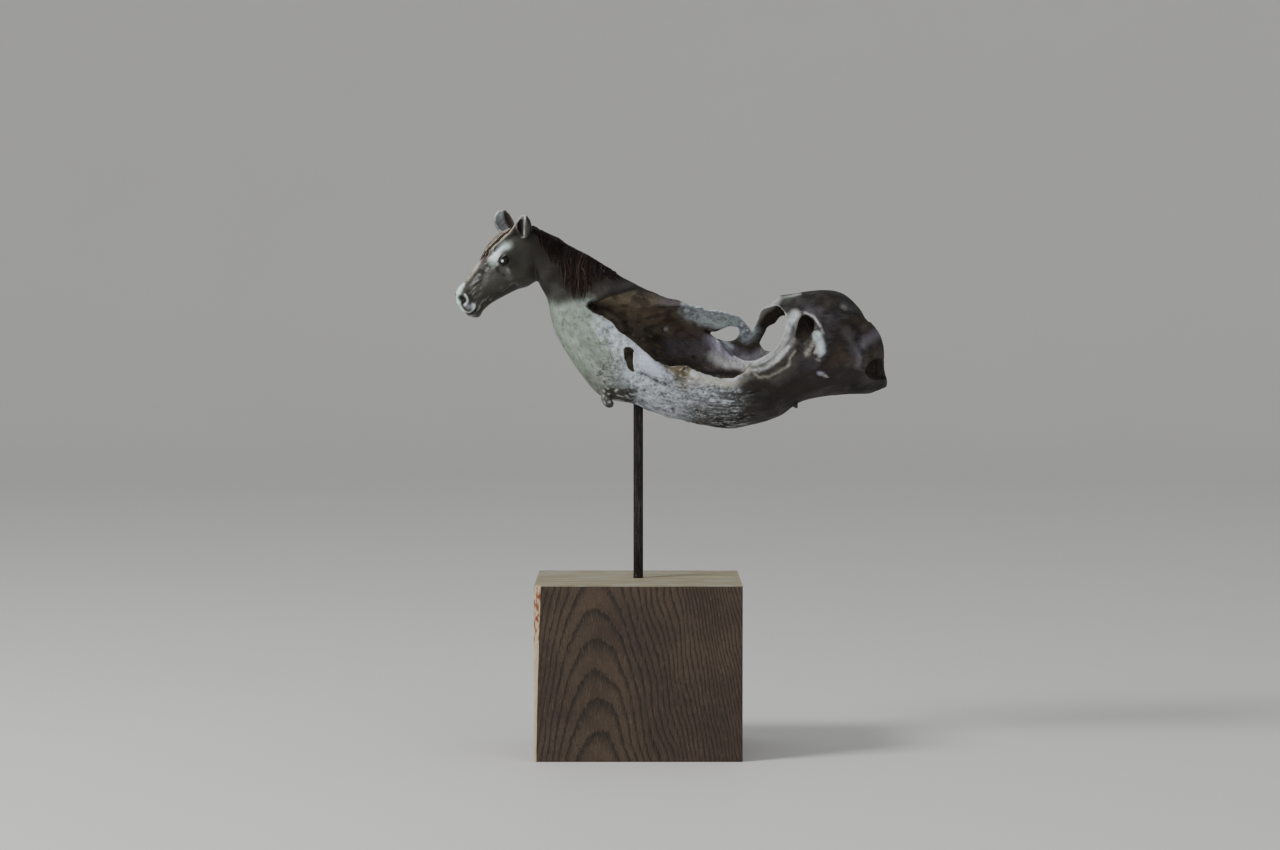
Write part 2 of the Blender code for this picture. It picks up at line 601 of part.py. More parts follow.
def skull():
    """The head without ears, eyes and hair, slice by slice from the poll to the lips."""
    rows = spline(HEAD, HEAD_SLICES)
    u, top, bottom = rows[:, 0], rows[:, 1], rows[:, 2]
    grid = []
    for number in range(HEAD_SLICES):
        drop = top[number] - (top[number] - bottom[number]) * np.array([0, 0.09, 0.30, 0.60, 0.88, 1])
        wide = np.array([0, *rows[number, 3:7], 0])
        one_side = np.stack([np.full(6, u[number]), wide, drop], axis=1)
        other = one_side[4:0:-1] * np.array([1, -1, 1])
        bend = np.array([0, HEAD_BEND * min(u[number] - BEND_FROM, 0), 0])
        grid.append(spline(np.concatenate([one_side, other]) + bend, HEAD_STEPS, closed=True))
    grid = np.array(grid)
    for u0, v0, w0, reach, height in HEAD_MARKS:
        out = outward(grid)
        push = np.zeros(grid.shape[:2])
        for side in (-1, 1):
            middle = np.array([u0, v0 * side, w0])
            push = np.maximum(push, falloff(np.linalg.norm(grid - middle, axis=-1), reach))
        grid = grid + out * (push * height)[..., None]
    for side in (-1, 1):
        for line, reach, deep in HEAD_GROOVES:
            out = outward(grid)
            gap = gap_to_line(grid, np.array(line) * np.array([1, side, 1]))
            grid = grid - out * (falloff(gap, reach) * deep)[..., None]
    return loft("skull", from_head(grid.reshape(-1, 3)).reshape(grid.shape))


def ear(side):
    """A cupped ear. Side is -1 for the near one and 1 for the far one."""
    foot = np.array(EAR_FOOT) * (1, side, 1)
    tip = np.array(EAR_TIPS[side])
    bend = (foot + tip) / 2 + np.array([1.2, 1.2 * side, 0.4])
    line = spline([foot, bend, tip], EAR_SLICES)
    way = np.gradient(line, axis=0)
    way /= np.linalg.norm(way, axis=1, keepdims=True)
    facing = np.array(EAR_FACINGS[side])
    radii = spline(EAR_RADII, EAR_SLICES)
    rings = []
    for number in range(EAR_SLICES):
        back = -(facing - way[number] * (facing @ way[number]))
        back /= np.linalg.norm(back)
        across = np.cross(way[number], back)
        radius, inner, half = radii[number]
        arc = np.radians(np.linspace(-half, half, EAR_STEPS))[:, None]
        outer_arc = back * np.cos(arc) + across * np.sin(arc)
        rings.append(line[number] + np.concatenate([outer_arc * radius, outer_arc[::-1] * inner]))
    return loft("ear", from_head(np.array(rings).reshape(-1, 3)).reshape(EAR_SLICES, -1, 3))


def eye(side):
    """The eyeball and its two lids."""
    middle = np.array([EYE[0], EYE[1] * side, EYE[2]])
    pieces = [ball("eyeball", from_head(middle), (EYE_RADIUS,) * 3)]
    for lift, rise in ((1, 1.75), (-1, 1.5)):
        corners = [
            middle + np.array([3.3, -0.2 * side, -0.8]),
            middle + np.array([1.9, 1.4 * side, 0.2 + 0.95 * rise * lift]),
            middle + np.array([-0.2, 1.6 * side, 0.2 + 1.3 * rise * lift]),
            middle + np.array([-2.3, 1.2 * side, 0.2 + 0.95 * rise * lift]),
            middle + np.array([-3.3, -0.3 * side, 0.3]),
        ]
        line = from_head(spline(corners, 14))
        radii = LID_RADIUS * (0.5 + 0.5 * np.sin(np.linspace(0, math.pi, 14)) ** 0.7)
        pieces.append(trail("lid", line, radii))
    return pieces


def muzzle_folds(side):
    """The curled rim of a nostril and the lips."""
    folds = []
    for name, knots in (("nostril_rim", NOSTRIL_RIM), ("upper_lip", UPPER_LIP), ("lower_lip", LOWER_LIP)):
        path = from_head(spline(np.array(knots) * (1, side, 1), 12))
        radii = FOLD_RADIUS * (0.45 + 0.55 * np.sin(np.linspace(0.1, math.pi - 0.1, 12)))
        folds.append(trail(name, path, radii, 0.8, (0, 0, 1)))
    return folds


def nearest_skin(piece):
    """A tree to find the nearest spot of a mesh's surface."""
    body = bmesh.new()
    body.from_mesh(piece.data)
    tree = BVHTree.FromBMesh(body)
    body.free()
    return tree


def laid_on(tree, path, sink):
    """The path moved on to the skin, with its middle line that deep below it."""
    laid = []
    for point in to_world(path):
        spot, out, _, _ = tree.find_nearest(Vector(point))
        laid.append((np.array(spot - out * sink * FIGURE_UNIT) - np.array(ROD_MOUTH)) / FIGURE_UNIT)
    return np.array(laid)


def mane(skin):
    """The locks that hang from the crest over the near side of the neck."""
    tree = nearest_skin(skin)
    roots = along(MANE_ROOTS, LOCKS)
    tips = along(MANE_TIPS, LOCKS)
    locks = []
    for number, (root, tip) in enumerate(zip(roots, tips)):
        swing = 1.3 * math.sin(number * 2.4)
        reach = 0.93 + 0.09 * math.sin(number * 1.7 + 1)
        middle = root + (tip - root) * 0.5 + np.array([swing - 0.8, -3.5, 1.0])
        end = root + (tip - root) * reach
        path = laid_on(tree, spline([root, middle, end], len(LOCK_TAPER)), 0.2)
        radii = LOCK_RADIUS * np.array(LOCK_TAPER)
        locks.append(trail("lock", path, radii, 0.62))
    return locks


def forelock(skin):
    """The strands that fall from between the ears over the forehead."""
    tree = nearest_skin(skin)
    strands = []
    for number in range(FORELOCK_STRANDS):
        share = number / (FORELOCK_STRANDS - 1) * 2 - 1
        long = 1 - 0.35 * abs(share)
        knots = [
            (-1.5, 3.4 * share - 0.6, 16.0),
            (4.5, 4.4 * share - 0.6, 17.5),
            (4.5 + 9 * long, 4.6 * share - 0.8, 17.0),
            (5.5 + 18 * long, 3.4 * share - 0.8 * math.sin(number * 2.1), 14.5),
        ]
        path = laid_on(tree, from_head(spline(knots, len(STRAND_TAPER))), -0.2)
        radii = STRAND_RADIUS * np.array(STRAND_TAPER)
        strands.append(trail("forelock_strand", path, radii, 0.8, (0, 0, 1)))
    return strands


# Putting it together


def material(name, colour, roughness, metallic=0.0):
    finish = bpy.data.materials.new(name)
    finish.use_nodes = True
    shader = finish.node_tree.nodes["Principled BSDF"]
    shader.inputs["Base Color"].default_value = (*colour, 1)
    shader.inputs["Roughness"].default_value = roughness
    shader.inputs["Metallic"].default_value = metallic
    return finish


def fused(name, pieces, smoothings):
    """The pieces as one skin: joined, grown together and smoothed."""
    body = bmesh.new()
    for piece in pieces:
        body.from_mesh(piece.data)
        bpy.data.objects.remove(piece)
    mesh = bpy.data.meshes.new(name)
    body.to_mesh(mesh)
    body.free()
    whole = bpy.data.objects.new(name, mesh)
    bpy.context.scene.collection.objects.link(whole)
    grow = whole.modifiers.new("grow together", "REMESH")
    grow.mode = "VOXEL"
    grow.voxel_size = GRAIN
    ease = whole.modifiers.new("ease", "SMOOTH")
    ease.factor = 0.5
    ease.iterations = smoothings
    return made_mesh(whole)


def blended(piece):
    """The piece with the joint of head and neck smoothed, so that one runs in to the other."""
    group = piece.vertex_groups.new(name="joint")
    spots = to_world(np.concatenate([from_head(JOINT_SPOTS), TURN_SPOTS]))
    points = np.empty(len(piece.data.vertices) * 3)
    piece.data.vertices.foreach_get("co", points)
    points = points.reshape(-1, 3)
    weight = np.zeros(len(points))
    for spot in spots:
        gap = np.linalg.norm(points - spot, axis=1)
        weight = np.maximum(weight, falloff(gap, JOINT_REACH * FIGURE_UNIT))
    for number in np.nonzero(weight > 0.02)[0]:
        group.add([int(number)], float(weight[number]), "REPLACE")
    ease = piece.modifiers.new("ease the joint", "SMOOTH")
    ease.vertex_group = "joint"
    ease.factor = 0.8
    ease.iterations = JOINT_SMOOTHINGS
    return made_mesh(piece)


def thinned(piece, triangles):
    """The piece with that many triangles, most of them kept on the head and its hair."""
    group = piece.vertex_groups.new(name="thin here")
    points = np.empty(len(piece.data.vertices) * 3)
    piece.data.vertices.foreach_get("co", points)
    drawn = (points.reshape(-1, 3) - np.array(ROD_MOUTH)) / FIGURE_UNIT
    middles = from_head(FINE_SPOTS)
    gap = np.min([np.linalg.norm(drawn - middle, axis=1) for middle in middles], axis=0)
    for number, away in enumerate(gap):
        group.add([number], KEEP_WEIGHT if away < FINE_REACH else 1.0, "REPLACE")
    now = sum(len(face.vertices) - 2 for face in piece.data.polygons)
    thin = piece.modifiers.new("thin", "DECIMATE")
    thin.ratio = triangles / now
    thin.vertex_group = "thin here"
    thin.vertex_group_factor = HEAD_FAVOUR
    thin.use_collapse_triangulate = True
    return made_mesh(piece)


def cylinder(name, diameter, foot, top):
    bpy.ops.mesh.primitive_cylinder_add(vertices=ROUND_STEPS, radius=diameter / 2, depth=top - foot)
    piece = bpy.context.object
    piece.name = name
    piece.location = (0, 0, (foot + top) / 2)
    return made_mesh(piece)


def horse():
    head = skull()
    skin = body_skin()
    locks = mane(skin)
    bpy.data.objects.remove(skin)
    strands = forelock(head)
    pieces = [driftwood(), saddle(), head, *stubs()]
    whole = blended(fused("driftwood_horse", pieces, SMOOTHINGS))
    features = [ear(-1), ear(1), *eye(-1), *eye(1), *muzzle_folds(-1), *muzzle_folds(1), *locks, *strands]
    whole = fused("driftwood_horse", [whole, *features], FEATURE_SMOOTHINGS)
    whole = thinned(whole, FIGURE_TRIANGLES)
    below = ROD_MOUTH.z - 0.5 * ROD_FREE_LENGTH
    return cut(whole, [cylinder("rod_bore", BORE_DIAMETER, below, ROD_MOUTH.z + ROD_IN_FIGURE)])


def rod():
    foot = BLOCK_HEIGHT - ROD_IN_BLOCK + FIT_GAP
    top = BLOCK_HEIGHT + ROD_FREE_LENGTH + ROD_IN_FIGURE - FIT_GAP
    piece = cylinder("support_rod", ROD_DIAMETER, foot, top)
    edge = piece.modifiers.new("edge", "BEVEL")
    edge.width = ROD_EDGE
    edge.angle_limit = math.radians(60)
    return made_mesh(piece)


def broken_arris():
    """What is missing along the block's left front edge. It is widest at the top and has a torn face."""
    x, y = -BLOCK_WIDTH / 2, -BLOCK_DEPTH / 2
    over = 2 * MM
    rings = []
    for number in range(CHIP_STEPS):
        share = number / (CHIP_STEPS - 1)
        z = -over + (BLOCK_HEIGHT + 2 * over) * share
        size = CHIP_AT_FOOT + (CHIP_AT_TOP - CHIP_AT_FOOT) * share**1.4
        size += 0.35 * MM * noise.noise(Vector((z * 90, 2.1, 0)))
        deep = size * (0.62 + 0.2 * noise.noise(Vector((z * 130, 7.7, 0))))
        rings.append([
            (x - over, y - over, z),
            (x + size, y - over, z),
            (x + size, y, z),
            (x + deep * 0.5, y + deep * 0.5, z),
            (x, y + size, z),
            (x - over, y + size, z),
        ])
    rings = (np.array(rings) - np.array(ROD_MOUTH)) / FIGURE_UNIT
    return loft("broken_arris", rings)


def block():
    bpy.ops.mesh.primitive_cube_add(size=1)
    piece = bpy.context.object
    piece.name = "oak_block"
    piece.scale = (BLOCK_WIDTH, BLOCK_DEPTH, BLOCK_HEIGHT)
    piece.location = (0, 0, BLOCK_HEIGHT / 2)
    piece = made_mesh(piece)
    edge = piece.modifiers.new("edge", "BEVEL")
    edge.width = BLOCK_EDGE
    edge.segments = 2
    piece = made_mesh(piece)
    above = BLOCK_HEIGHT + 0.1 * ROD_FREE_LENGTH
    bore = cylinder("block_bore", BORE_DIAMETER, BLOCK_HEIGHT - ROD_IN_BLOCK, above)
    return cut(piece, [bore, broken_arris()])


def main():
    for thing in list(bpy.data.objects):
        bpy.data.objects.remove(thing)
    sculpture = bpy.data.collections.new("driftwood_horse_sculpture")
    bpy.context.scene.collection.children.link(sculpture)
    finishes = {
        "driftwood_horse": material("weathered_driftwood", (0.34, 0.31, 0.26), 0.75),
        "support_rod": material("dark_steel", (0.05, 0.048, 0.045), 0.45, 1.0),
        "oak_block": material("oak", (0.20, 0.15, 0.11), 0.7),
    }
    for piece in (block(), rod(), horse()):
        for held in list(piece.users_collection):
            held.objects.unlink(piece)
        sculpture.objects.link(piece)
        piece.data.materials.clear()
        piece.data.materials.append(finishes[piece.name])


main()
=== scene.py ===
import math

import bmesh
import bpy
import numpy as np
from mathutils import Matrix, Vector, noise
from mathutils.bvhtree import BVHTree


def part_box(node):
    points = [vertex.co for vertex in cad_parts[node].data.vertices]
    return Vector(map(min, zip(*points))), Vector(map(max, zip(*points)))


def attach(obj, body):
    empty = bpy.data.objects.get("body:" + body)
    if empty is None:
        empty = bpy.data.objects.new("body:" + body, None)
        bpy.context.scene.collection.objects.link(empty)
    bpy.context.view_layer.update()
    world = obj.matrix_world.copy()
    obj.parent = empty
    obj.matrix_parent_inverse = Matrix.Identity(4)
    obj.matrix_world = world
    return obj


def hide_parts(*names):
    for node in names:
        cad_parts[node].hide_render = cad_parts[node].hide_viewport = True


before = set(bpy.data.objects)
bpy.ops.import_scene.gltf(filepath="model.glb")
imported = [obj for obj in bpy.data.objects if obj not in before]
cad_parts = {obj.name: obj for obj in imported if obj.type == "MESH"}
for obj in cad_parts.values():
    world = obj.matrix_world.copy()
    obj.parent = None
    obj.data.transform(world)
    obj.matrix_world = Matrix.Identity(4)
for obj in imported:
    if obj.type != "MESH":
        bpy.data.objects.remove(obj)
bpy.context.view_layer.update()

bl_info = {
    "name": "Driftwood horse",
    "version": (1, 0, 0),
    "blender": (4, 5, 0),
    "location": "3D View > Sidebar > Driftwood horse",
    "description": "A weathered driftwood horse on a thin rod and a sawn oak block",
    "category": "Object",
}

MM = 0.001

# The figure is drawn in its own millimetres, measured from the rod's mouth in its underside: x along the
# body, y in depth and z up. The horse looks along -X, and its open flank, the near side, faces -Y.
ROD_DEPTH = 8
ROD_GAP = 0.3
ROD_MOUTH = Vector((0, 0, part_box("support_rod")[1][2] - ROD_DEPTH * MM + ROD_GAP * MM))
# The body's wall, and how many walls thick the floor is where the rod ends in it
WALL = 2.6
ROD_BOSS = (ROD_DEPTH + 1.5 * WALL) / WALL

# Slices of the outer skin: x and z of the top, x and z of the bottom, half the width, and how much
# narrower the slice is at the top
SKIN = np.array([
    (-54.5, 92.2, -51.0, 62.2, 8.8, 0.45),
    (-42.8, 86.0, -46.8, 54.5, 10.0, 0.50),
    (-34.5, 81.4, -45.3, 47.8, 11.4, 0.50),
    (-25.0, 76.6, -42.7, 37.5, 13.6, 0.55),
    (-15.5, 70.6, -37.1, 27.2, 17.0, 0.55),
    (-6.8, 65.2, -28.9, 15.4, 20.0, 0.50),
    (3.5, 60.6, -18.1, 4.1, 22.5, 0.40),
    (13.8, 57.3, -1.6, 0.0, 24.5, 0.25),
    (26.6, 55.5, 15.3, -5.7, 26.5, 0.15),
    (39.5, 55.0, 34.3, -10.5, 27.5, 0.10),
    (54.9, 55.0, 53.3, -11.0, 27.5, 0.10),
    (70.3, 56.0, 70.3, -6.4, 27.0, 0.10),
    (83.1, 58.3, 83.1, 1.0, 26.5, 0.10),
    (96.0, 59.1, 96.0, 4.9, 25.0, 0.10),
    (107.8, 55.5, 108.8, 5.4, 22.0, 0.10),
    (117.5, 45.2, 119.1, 5.7, 17.5, 0.10),
    (123.7, 36.5, 126.8, 8.7, 11.0, 0.10),
    (125.0, 30.3, 128.1, 10.8, 6.0, 0.10),
])
SKIN_SLICES = 190
SKIN_STEPS = 124
# Swellings and dents of the skin: the side, the line of x and z, the reach and the height
SKIN_MARKS = [
    (-1, [(79.0, 45.0), (78.6, 40.0), (76.8, 35.0), (73.5, 29.0), (69.0, 24.0), (64.0, 20.5)], 5.0, -1.4),
    (-1, [(83.8, 47.0), (88.0, 47.5), (91.5, 43.0), (90.5, 36.0), (86.0, 29.0)], 2.6, 0.9),
    (-1, [(62.0, 52.5), (66.0, 54.5), (72.0, 56.8)], 3.0, 0.8),
    (-1, [(72.0, 53.0), (78.0, 55.0)], 4.0, -1.0),
    (-1, [(106.0, 38.0), (109.0, 31.0), (108.0, 22.0)], 6.0, 1.3),
    (-1, [(111.5, 34.0), (114.5, 28.5)], 3.0, -1.5),
    (-1, [(115.0, 39.0), (119.5, 33.0), (122.0, 27.5)], 4.5, 1.5),
    (1, [(112.0, 44.0), (119.0, 38.0), (123.0, 28.0)], 6.0, 1.2),
    (-1, [(96.0, 27.0), (101.0, 40.0)], 8.0, -0.9),
    (-1, [(84.0, 25.0), (79.0, 18.0), (70.0, 12.0)], 5.0, 1.1),
    (-1, [(-5.5, 20.0), (4.0, 14.0), (16.0, 9.0)], 5.0, -0.8),
    (-1, [(-2.0, 25.0), (7.0, 17.5), (16.0, 14.0)], 4.0, 0.7),
    (-1, [(-35.0, 50.0), (-30.0, 40.0), (-22.0, 28.0)], 8.0, 0.8),
    (-1, [(-40.0, 66.0), (-30.0, 60.0), (-22.0, 56.0)], 7.0, -0.9),
    (1, [(20.0, 30.0), (50.0, 22.0), (80.0, 25.0)], 9.0, 0.5),
    (1, [(30.0, 8.0), (60.0, 4.0), (90.0, 12.0)], 8.0, 1.2),
    (1, [(92.0, 30.0), (104.0, 38.0)], 9.0, -1.2),
    (1, [(-36.0, 62.0), (-22.0, 52.0)], 8.0, -0.8),
]
# Slices of the room inside: the skin's slice, then the wall below, above, at the far and at the near side
HOLLOW = np.array([
    (4.10, 9.5, 7.6, 9.0, 3.0),
    (4.40, 8.2, 6.8, 8.5, 2.2),
    (5.00, 6.4, 4.8, 6.2, 1.6),
    (6.00, ROD_BOSS + 0.3, 3.3, 3.1, 1.1),
    (7.00, ROD_BOSS, 1.9, 1.5, 1.0),
    (8.00, ROD_BOSS * 0.4, 1.2, 1.0, 1.0),
    (9.00, 1.3, 1.2, 1.0, 1.0),
    (10.0, 1.3, 1.2, 1.0, 1.0),
    (11.0, 1.4, 1.2, 1.0, 1.0),
    (12.0, 2.3, 1.3, 1.5, 1.2),
    (12.7, 4.6, 2.8, 2.7, 1.8),
    (13.2, 8.2, 6.0, 6.0, 5.0),
])
# Broken edges, as x and z, or x, y and z
NEAR_RIM = [
    (-26.6, 51.6), (-22.3, 47.3), (-18.4, 46.2), (-13.2, 42.8), (-10.2, 38.5), (-3.7, 34.3), (2.9, 28.0),
    (8.8, 23.2), (16.0, 19.9), (18.9, 21.0), (24.5, 20.8), (32.4, 17.0), (40.2, 14.6), (48.1, 14.5),
    (52.8, 16.7), (57.4, 22.6), (61.8, 24.4), (66.3, 27.1), (69.2, 29.1), (71.6, 32.4), (73.4, 36.0),
    (74.8, 40.6), (75.1, 45.2),
]
OPENING_TOP = [
    (-26.0, -12.0, 54.5), (-22.0, -12.5, 58.0), (-17.5, -11.5, 60.5), (-11.0, -8.5, 60.5), (-4.0, -4.5, 61.5),
    (4.0, 0.0, 66.0), (11.0, 3.0, 74.0), (32.0, 6.0, 76.0), (59.0, 6.0, 68.0), (60.5, 2.0, 49.0),
    (65.7, 0.0, 49.8), (70.8, -2.0, 51.1), (74.4, -8.0, 48.3),
]
OPENING_DEEP = [
    (-24.5, -7.0, 51.5), (-20.0, -2.0, 50.0), (-15.5, 3.0, 48.3), (-9.8, 7.0, 44.5), (-3.0, 10.0, 38.5),
    (3.5, 12.0, 33.0), (11.0, 13.0, 28.0), (22.0, 13.0, 24.0), (59.0, 6.0, 30.0), (61.5, 2.0, 47.3),
    (65.7, 0.0, 48.8), (70.8, -2.0, 49.1), (74.4, -8.0, 46.3),
]
FAR_RIM = [
    (3.5, 61.4), (8.8, 58.8), (16.6, 55.9), (24.5, 52.4), (30.4, 50.7), (36.3, 48.9), (42.2, 48.6),
    (48.1, 46.9), (52.0, 45.3), (55.9, 42.2), (57.9, 39.4), (59.1, 36.7), (59.7, 39.6), (61.0, 42.6),
    (62.1, 45.2), (63.1, 48.8), (65.7, 50.3), (69.8, 52.9), (72.8, 55.7),
]
FAR_HOLE = [
    (35.1, 35.4), (36.4, 37.1), (40.2, 37.7), (44.2, 39.4), (48.1, 40.2), (51.6, 39.4), (52.0, 35.5),
    (50.0, 33.1), (46.1, 32.6), (41.0, 33.9),
]
FAR_WINDOW = [
    (73.8, 45.5), (70.8, 42.0), (67.6, 40.1), (65.9, 37.1), (64.3, 33.8), (63.3, 31.5), (64.6, 29.0),
    (67.7, 27.2), (74.9, 27.2), (78.5, 33.4), (79.0, 41.6), (77.5, 45.7),
]
FLANK_WINDOW = [
    (82.5, 45.1), (85.4, 46.5), (88.7, 43.9), (89.6, 40.6), (87.2, 36.2), (85.2, 31.8), (84.0, 30.9),
    (81.0, 34.1), (79.5, 34.7), (81.0, 40.6),
]
CHEST_HOLE = [
    (-6.8, 29.8), (-4.7, 30.1), (-2.2, 28.8), (-2.7, 25.2), (-2.4, 22.1), (-2.2, 18.0), (-4.7, 19.0),
    (-6.3, 22.6), (-7.0, 26.2),
]
RUMP_NOTCH = [(114.0, 50.0), (116.4, 44.6), (118.8, 42.6), (119.6, 46.5)]
RUMP_BOWL = (122.5, -8.0, 19.0)
RUMP_BOWL_REACH = (10.5, 12.5, 6.0)
SADDLE_EDGE = [
    (31.0, 22.5, 41.0), (38.4, 18.5, 34.9), (42.5, 13.0, 32.1), (46.1, 7.0, 28.3), (49.7, 0.0, 24.8),
    (57.4, -9.0, 23.0), (66.2, -17.0, 26.7), (71.8, -21.0, 32.9), (75.5, -24.0, 42.6),
]
SADDLE_FOOT = [
    (24.0, 24.5, 26.0), (31.0, 22.0, 14.0), (37.0, 16.0, 5.0), (42.0, 8.0, -3.0), (47.0, -3.0, -5.5),
    (53.0, -13.0, 0.0), (62.0, -20.5, 6.0), (72.0, -24.0, 16.0), (80.0, -25.5, 28.0),
]

# The head, from the poll to the lips. u runs forward, v to the far side and w up from HEAD_ORIGIN.
HEAD_ORIGIN = (-57.1, 0.0, 79.6)
HEAD_YAW, HEAD_PITCH, HEAD_ROLL = 27, 39, 5
HEAD_SLICES = 130
HEAD_STEPS = 110
# Slices of the head: u, the top, the bottom, and half the width at four heights from the top down
HEAD = np.array([
    (-15.0, -3.5, -9.0, 2.4, 4.4, 4.6, 2.6),
    (-7.0, 9.4, -11.5, 4.2, 7.2, 7.8, 4.6),
    (2.0, 13.8, -15.8, 4.6, 7.8, 8.0, 4.8),
    (10.0, 15.0, -15.5, 4.6, 8.0, 8.2, 4.8),
    (17.0, 14.8, -12.5, 4.7, 8.6, 7.6, 4.2),
    (25.0, 12.8, -10.4, 3.6, 6.5, 6.2, 3.6),
    (32.0, 10.9, -8.9, 2.9, 5.0, 4.9, 3.0),
    (38.0, 9.7, -8.6, 2.8, 4.6, 4.7, 3.2),
    (42.5, 9.3, -9.3, 3.0, 5.0, 5.2, 3.9),
    (46.0, 6.8, -6.6, 2.6, 4.4, 4.6, 3.2),
    (47.4, 2.8, -2.8, 1.4, 2.4, 2.4, 1.6),
])
# Swellings and dents on both sides of the head: u, v, w, the reach and the height
HEAD_MARKS = [
    (15.5, 8.0, 10.2, 4.6, 1.0),
    (17.3, 8.8, 6.6, 4.2, -0.7),
    (22.5, 7.2, 3.6, 4.5, 0.6),
    (27.0, 6.2, 2.6, 4.0, 0.5),
    (30.0, 4.8, 6.8, 5.0, -0.7),
    (9.0, 8.0, -5.0, 9.5, 1.1),
    (9.5, 6.6, 12.0, 4.0, -0.8),
    (20.0, 5.0, -8.5, 4.5, -0.8),
    (43.4, 4.8, 5.2, 3.6, 0.9),
    (40.5, 5.0, -0.5, 3.0, 0.4),
    (42.5, 0.0, -8.8, 3.5, 0.5),
    (38.0, 4.0, -4.0, 3.4, -0.5),
]
# Grooves on both sides of the head: the line of u, v and w, its reach and its depth
HEAD_GROOVES = [
    ([(47.6, 0, -3.8), (45.6, 3.6, -4.0), (41.2, 5.4, -3.8)], 1.4, 1.2),
    ([(46.2, 2.4, 6.4), (45.7, 3.4, 4.7), (45.6, 4.1, 3.2)], 2.1, 2.8),
    ([(42.4, 5.4, 5.4), (42.6, 5.6, 2.6), (44.0, 5.2, 0.4)], 1.6, 0.5),
    ([(22.0, 7.9, 6.0), (26.0, 6.6, 4.4)], 1.5, 0.35),
    ([(20.5, 8.4, 1.0), (23.0, 7.4, -1.0)], 1.5, 0.3),
]
# How far the head's middle line bends towards the neck's, behind the poll
HEAD_BEND = 0.4
EYE = (16.7, 7.8, 7.3)
EYE_RADIUS = 2.75
EAR_TIPS = {-1: (-5.2, -9.7, 19.3), 1: (-4.9, 10.8, 21.4)}
EAR_FACINGS = {-1: (0.99, 0.08, 0.1), 1: (0.15, -0.9, 0.17)}
EAR_SLICES = 22
EAR_STEPS = 25
# The cup of an ear from foot to tip: the outer radius, the inner radius and half the angle it covers
EAR_RADII = [
    (2.8, 0.2, 136), (4.2, 2.9, 116), (4.8, 3.7, 108), (4.8, 3.7, 104), (4.0, 2.9, 100), (2.0, 0.6, 95),
]
# Where head and neck are smoothed in to each other: on the head, and in the turn of the neck
JOINT_SPOTS = [
    (-3, 7, 7), (-3, 8, 0), (-2, 8, -7), (1, 6, -14), (-3, -7, 7), (-3, -8, 0), (-2, -8, -7), (1, -6, -14),
    (3, 0, -17), (-5, 0, 14),
]
TURN_SPOTS = [(-22, -13, 57), (-17, -12, 60), (-11, -9, 60), (-5, -5, 61), (1, -2, 63)]
JOINT_REACH = 11
JOINT_SMOOTHINGS = 130
MANE_LOCKS = 30
LOCK_RADIUS = 1.15
MANE_ROOTS = [
    (-54, 0.5, 92.5), (-48.7, 0.5, 89.8), (-45.5, 0.5, 88.0), (-42.8, 0.5, 86.4), (-39.8, 0.5, 84.8),
    (-36.5, 0.3, 83.0), (-30, 0, 79.5), (-22, -0.3, 74.5), (-12, -0.6, 69.0),
]
MANE_TIPS = [
    (-51.0, -8.0, 88.0), (-43.2, -10.5, 75.1), (-38.1, -12.0, 69.2), (-34.4, -13.0, 61.8),
    (-32.3, -13.5, 55.5), (-29.5, -13.5, 56.5), (-21.9, -12.0, 63.3), (-14.5, -8.0, 66.3), (-8.0, -4.0, 65.5),
]

# Paints, as red, green and blue from 0 to 255
PAINTS = {
    "umber": (60, 53, 47),
    "dark umber": (42, 37, 33),
    # A black used both as paint and for painted shade in pockets, holes and gaps.
    "soot": (14, 12, 11),
    "warm brown": (112, 102, 89),
    "olive grey": (78, 77, 70),
    "olive brown": (52, 49, 42),
    "dusk": (40, 37, 33),
    "rump brown": (44, 39, 36),
    "celadon": (160, 173, 162),
    "green grey": (118, 130, 114),
    "bone": (196, 197, 196),
    "blue white": (205, 213, 224),
    "lilac grey": (110, 104, 114),
    "lilac": (172, 167, 186),
    "lilac blue": (190, 197, 216),
    "cream": (190, 187, 172),
    "straw": (142, 128, 100),
    "grey": (112, 112, 110),
    "dark red": (30, 18, 14),
    "plum": (86, 48, 54),
    "white": (232, 247, 249),
    "rust": (92, 72, 60),
}


def spline(knots, count, closed=False):
    """Points of a smooth curve through the knots, evenly spaced in its parameter."""
    knots = np.asarray(knots, float)
    spans = len(knots) if closed else len(knots) - 1
    at = np.linspace(0, spans, count, endpoint=not closed)
    return spline_at(knots, at, closed)


def spline_at(knots, at, closed=False):
    """The smooth curve through the knots at the given parameters, where knot number n is at n."""
    knots = np.asarray(knots, float)
    number = len(knots)
    spans = number if closed else number - 1
    first = np.minimum(np.floor(at).astype(int), spans - 1)
    share = (at - first)[:, None]
    if closed:
        a, b, c, d = (knots[(first + step) % number] for step in (-1, 0, 1, 2))
    else:
        b, c = knots[first], knots[first + 1]
        a = np.where((first == 0)[:, None], 2 * b - c, knots[np.maximum(first - 1, 0)])
        d = np.where((first == spans - 1)[:, None], 2 * c - b, knots[np.minimum(first + 2, number - 1)])
    return 0.5 * (
        2 * b
        + (c - a) * share
        + (2 * a - 5 * b + 4 * c - d) * share**2
        + (3 * b - a - 3 * c + d) * share**3
    )


def along(points, count):
    """The same line of points with its points evenly spaced along it."""
    points = np.asarray(points, float)
    steps = np.linalg.norm(np.diff(points, axis=0), axis=1)
    walked = np.concatenate([[0], np.cumsum(steps)])
    at = np.linspace(0, walked[-1], count)
    return np.stack([np.interp(at, walked, points[:, axis]) for axis in range(points.shape[1])], axis=1)


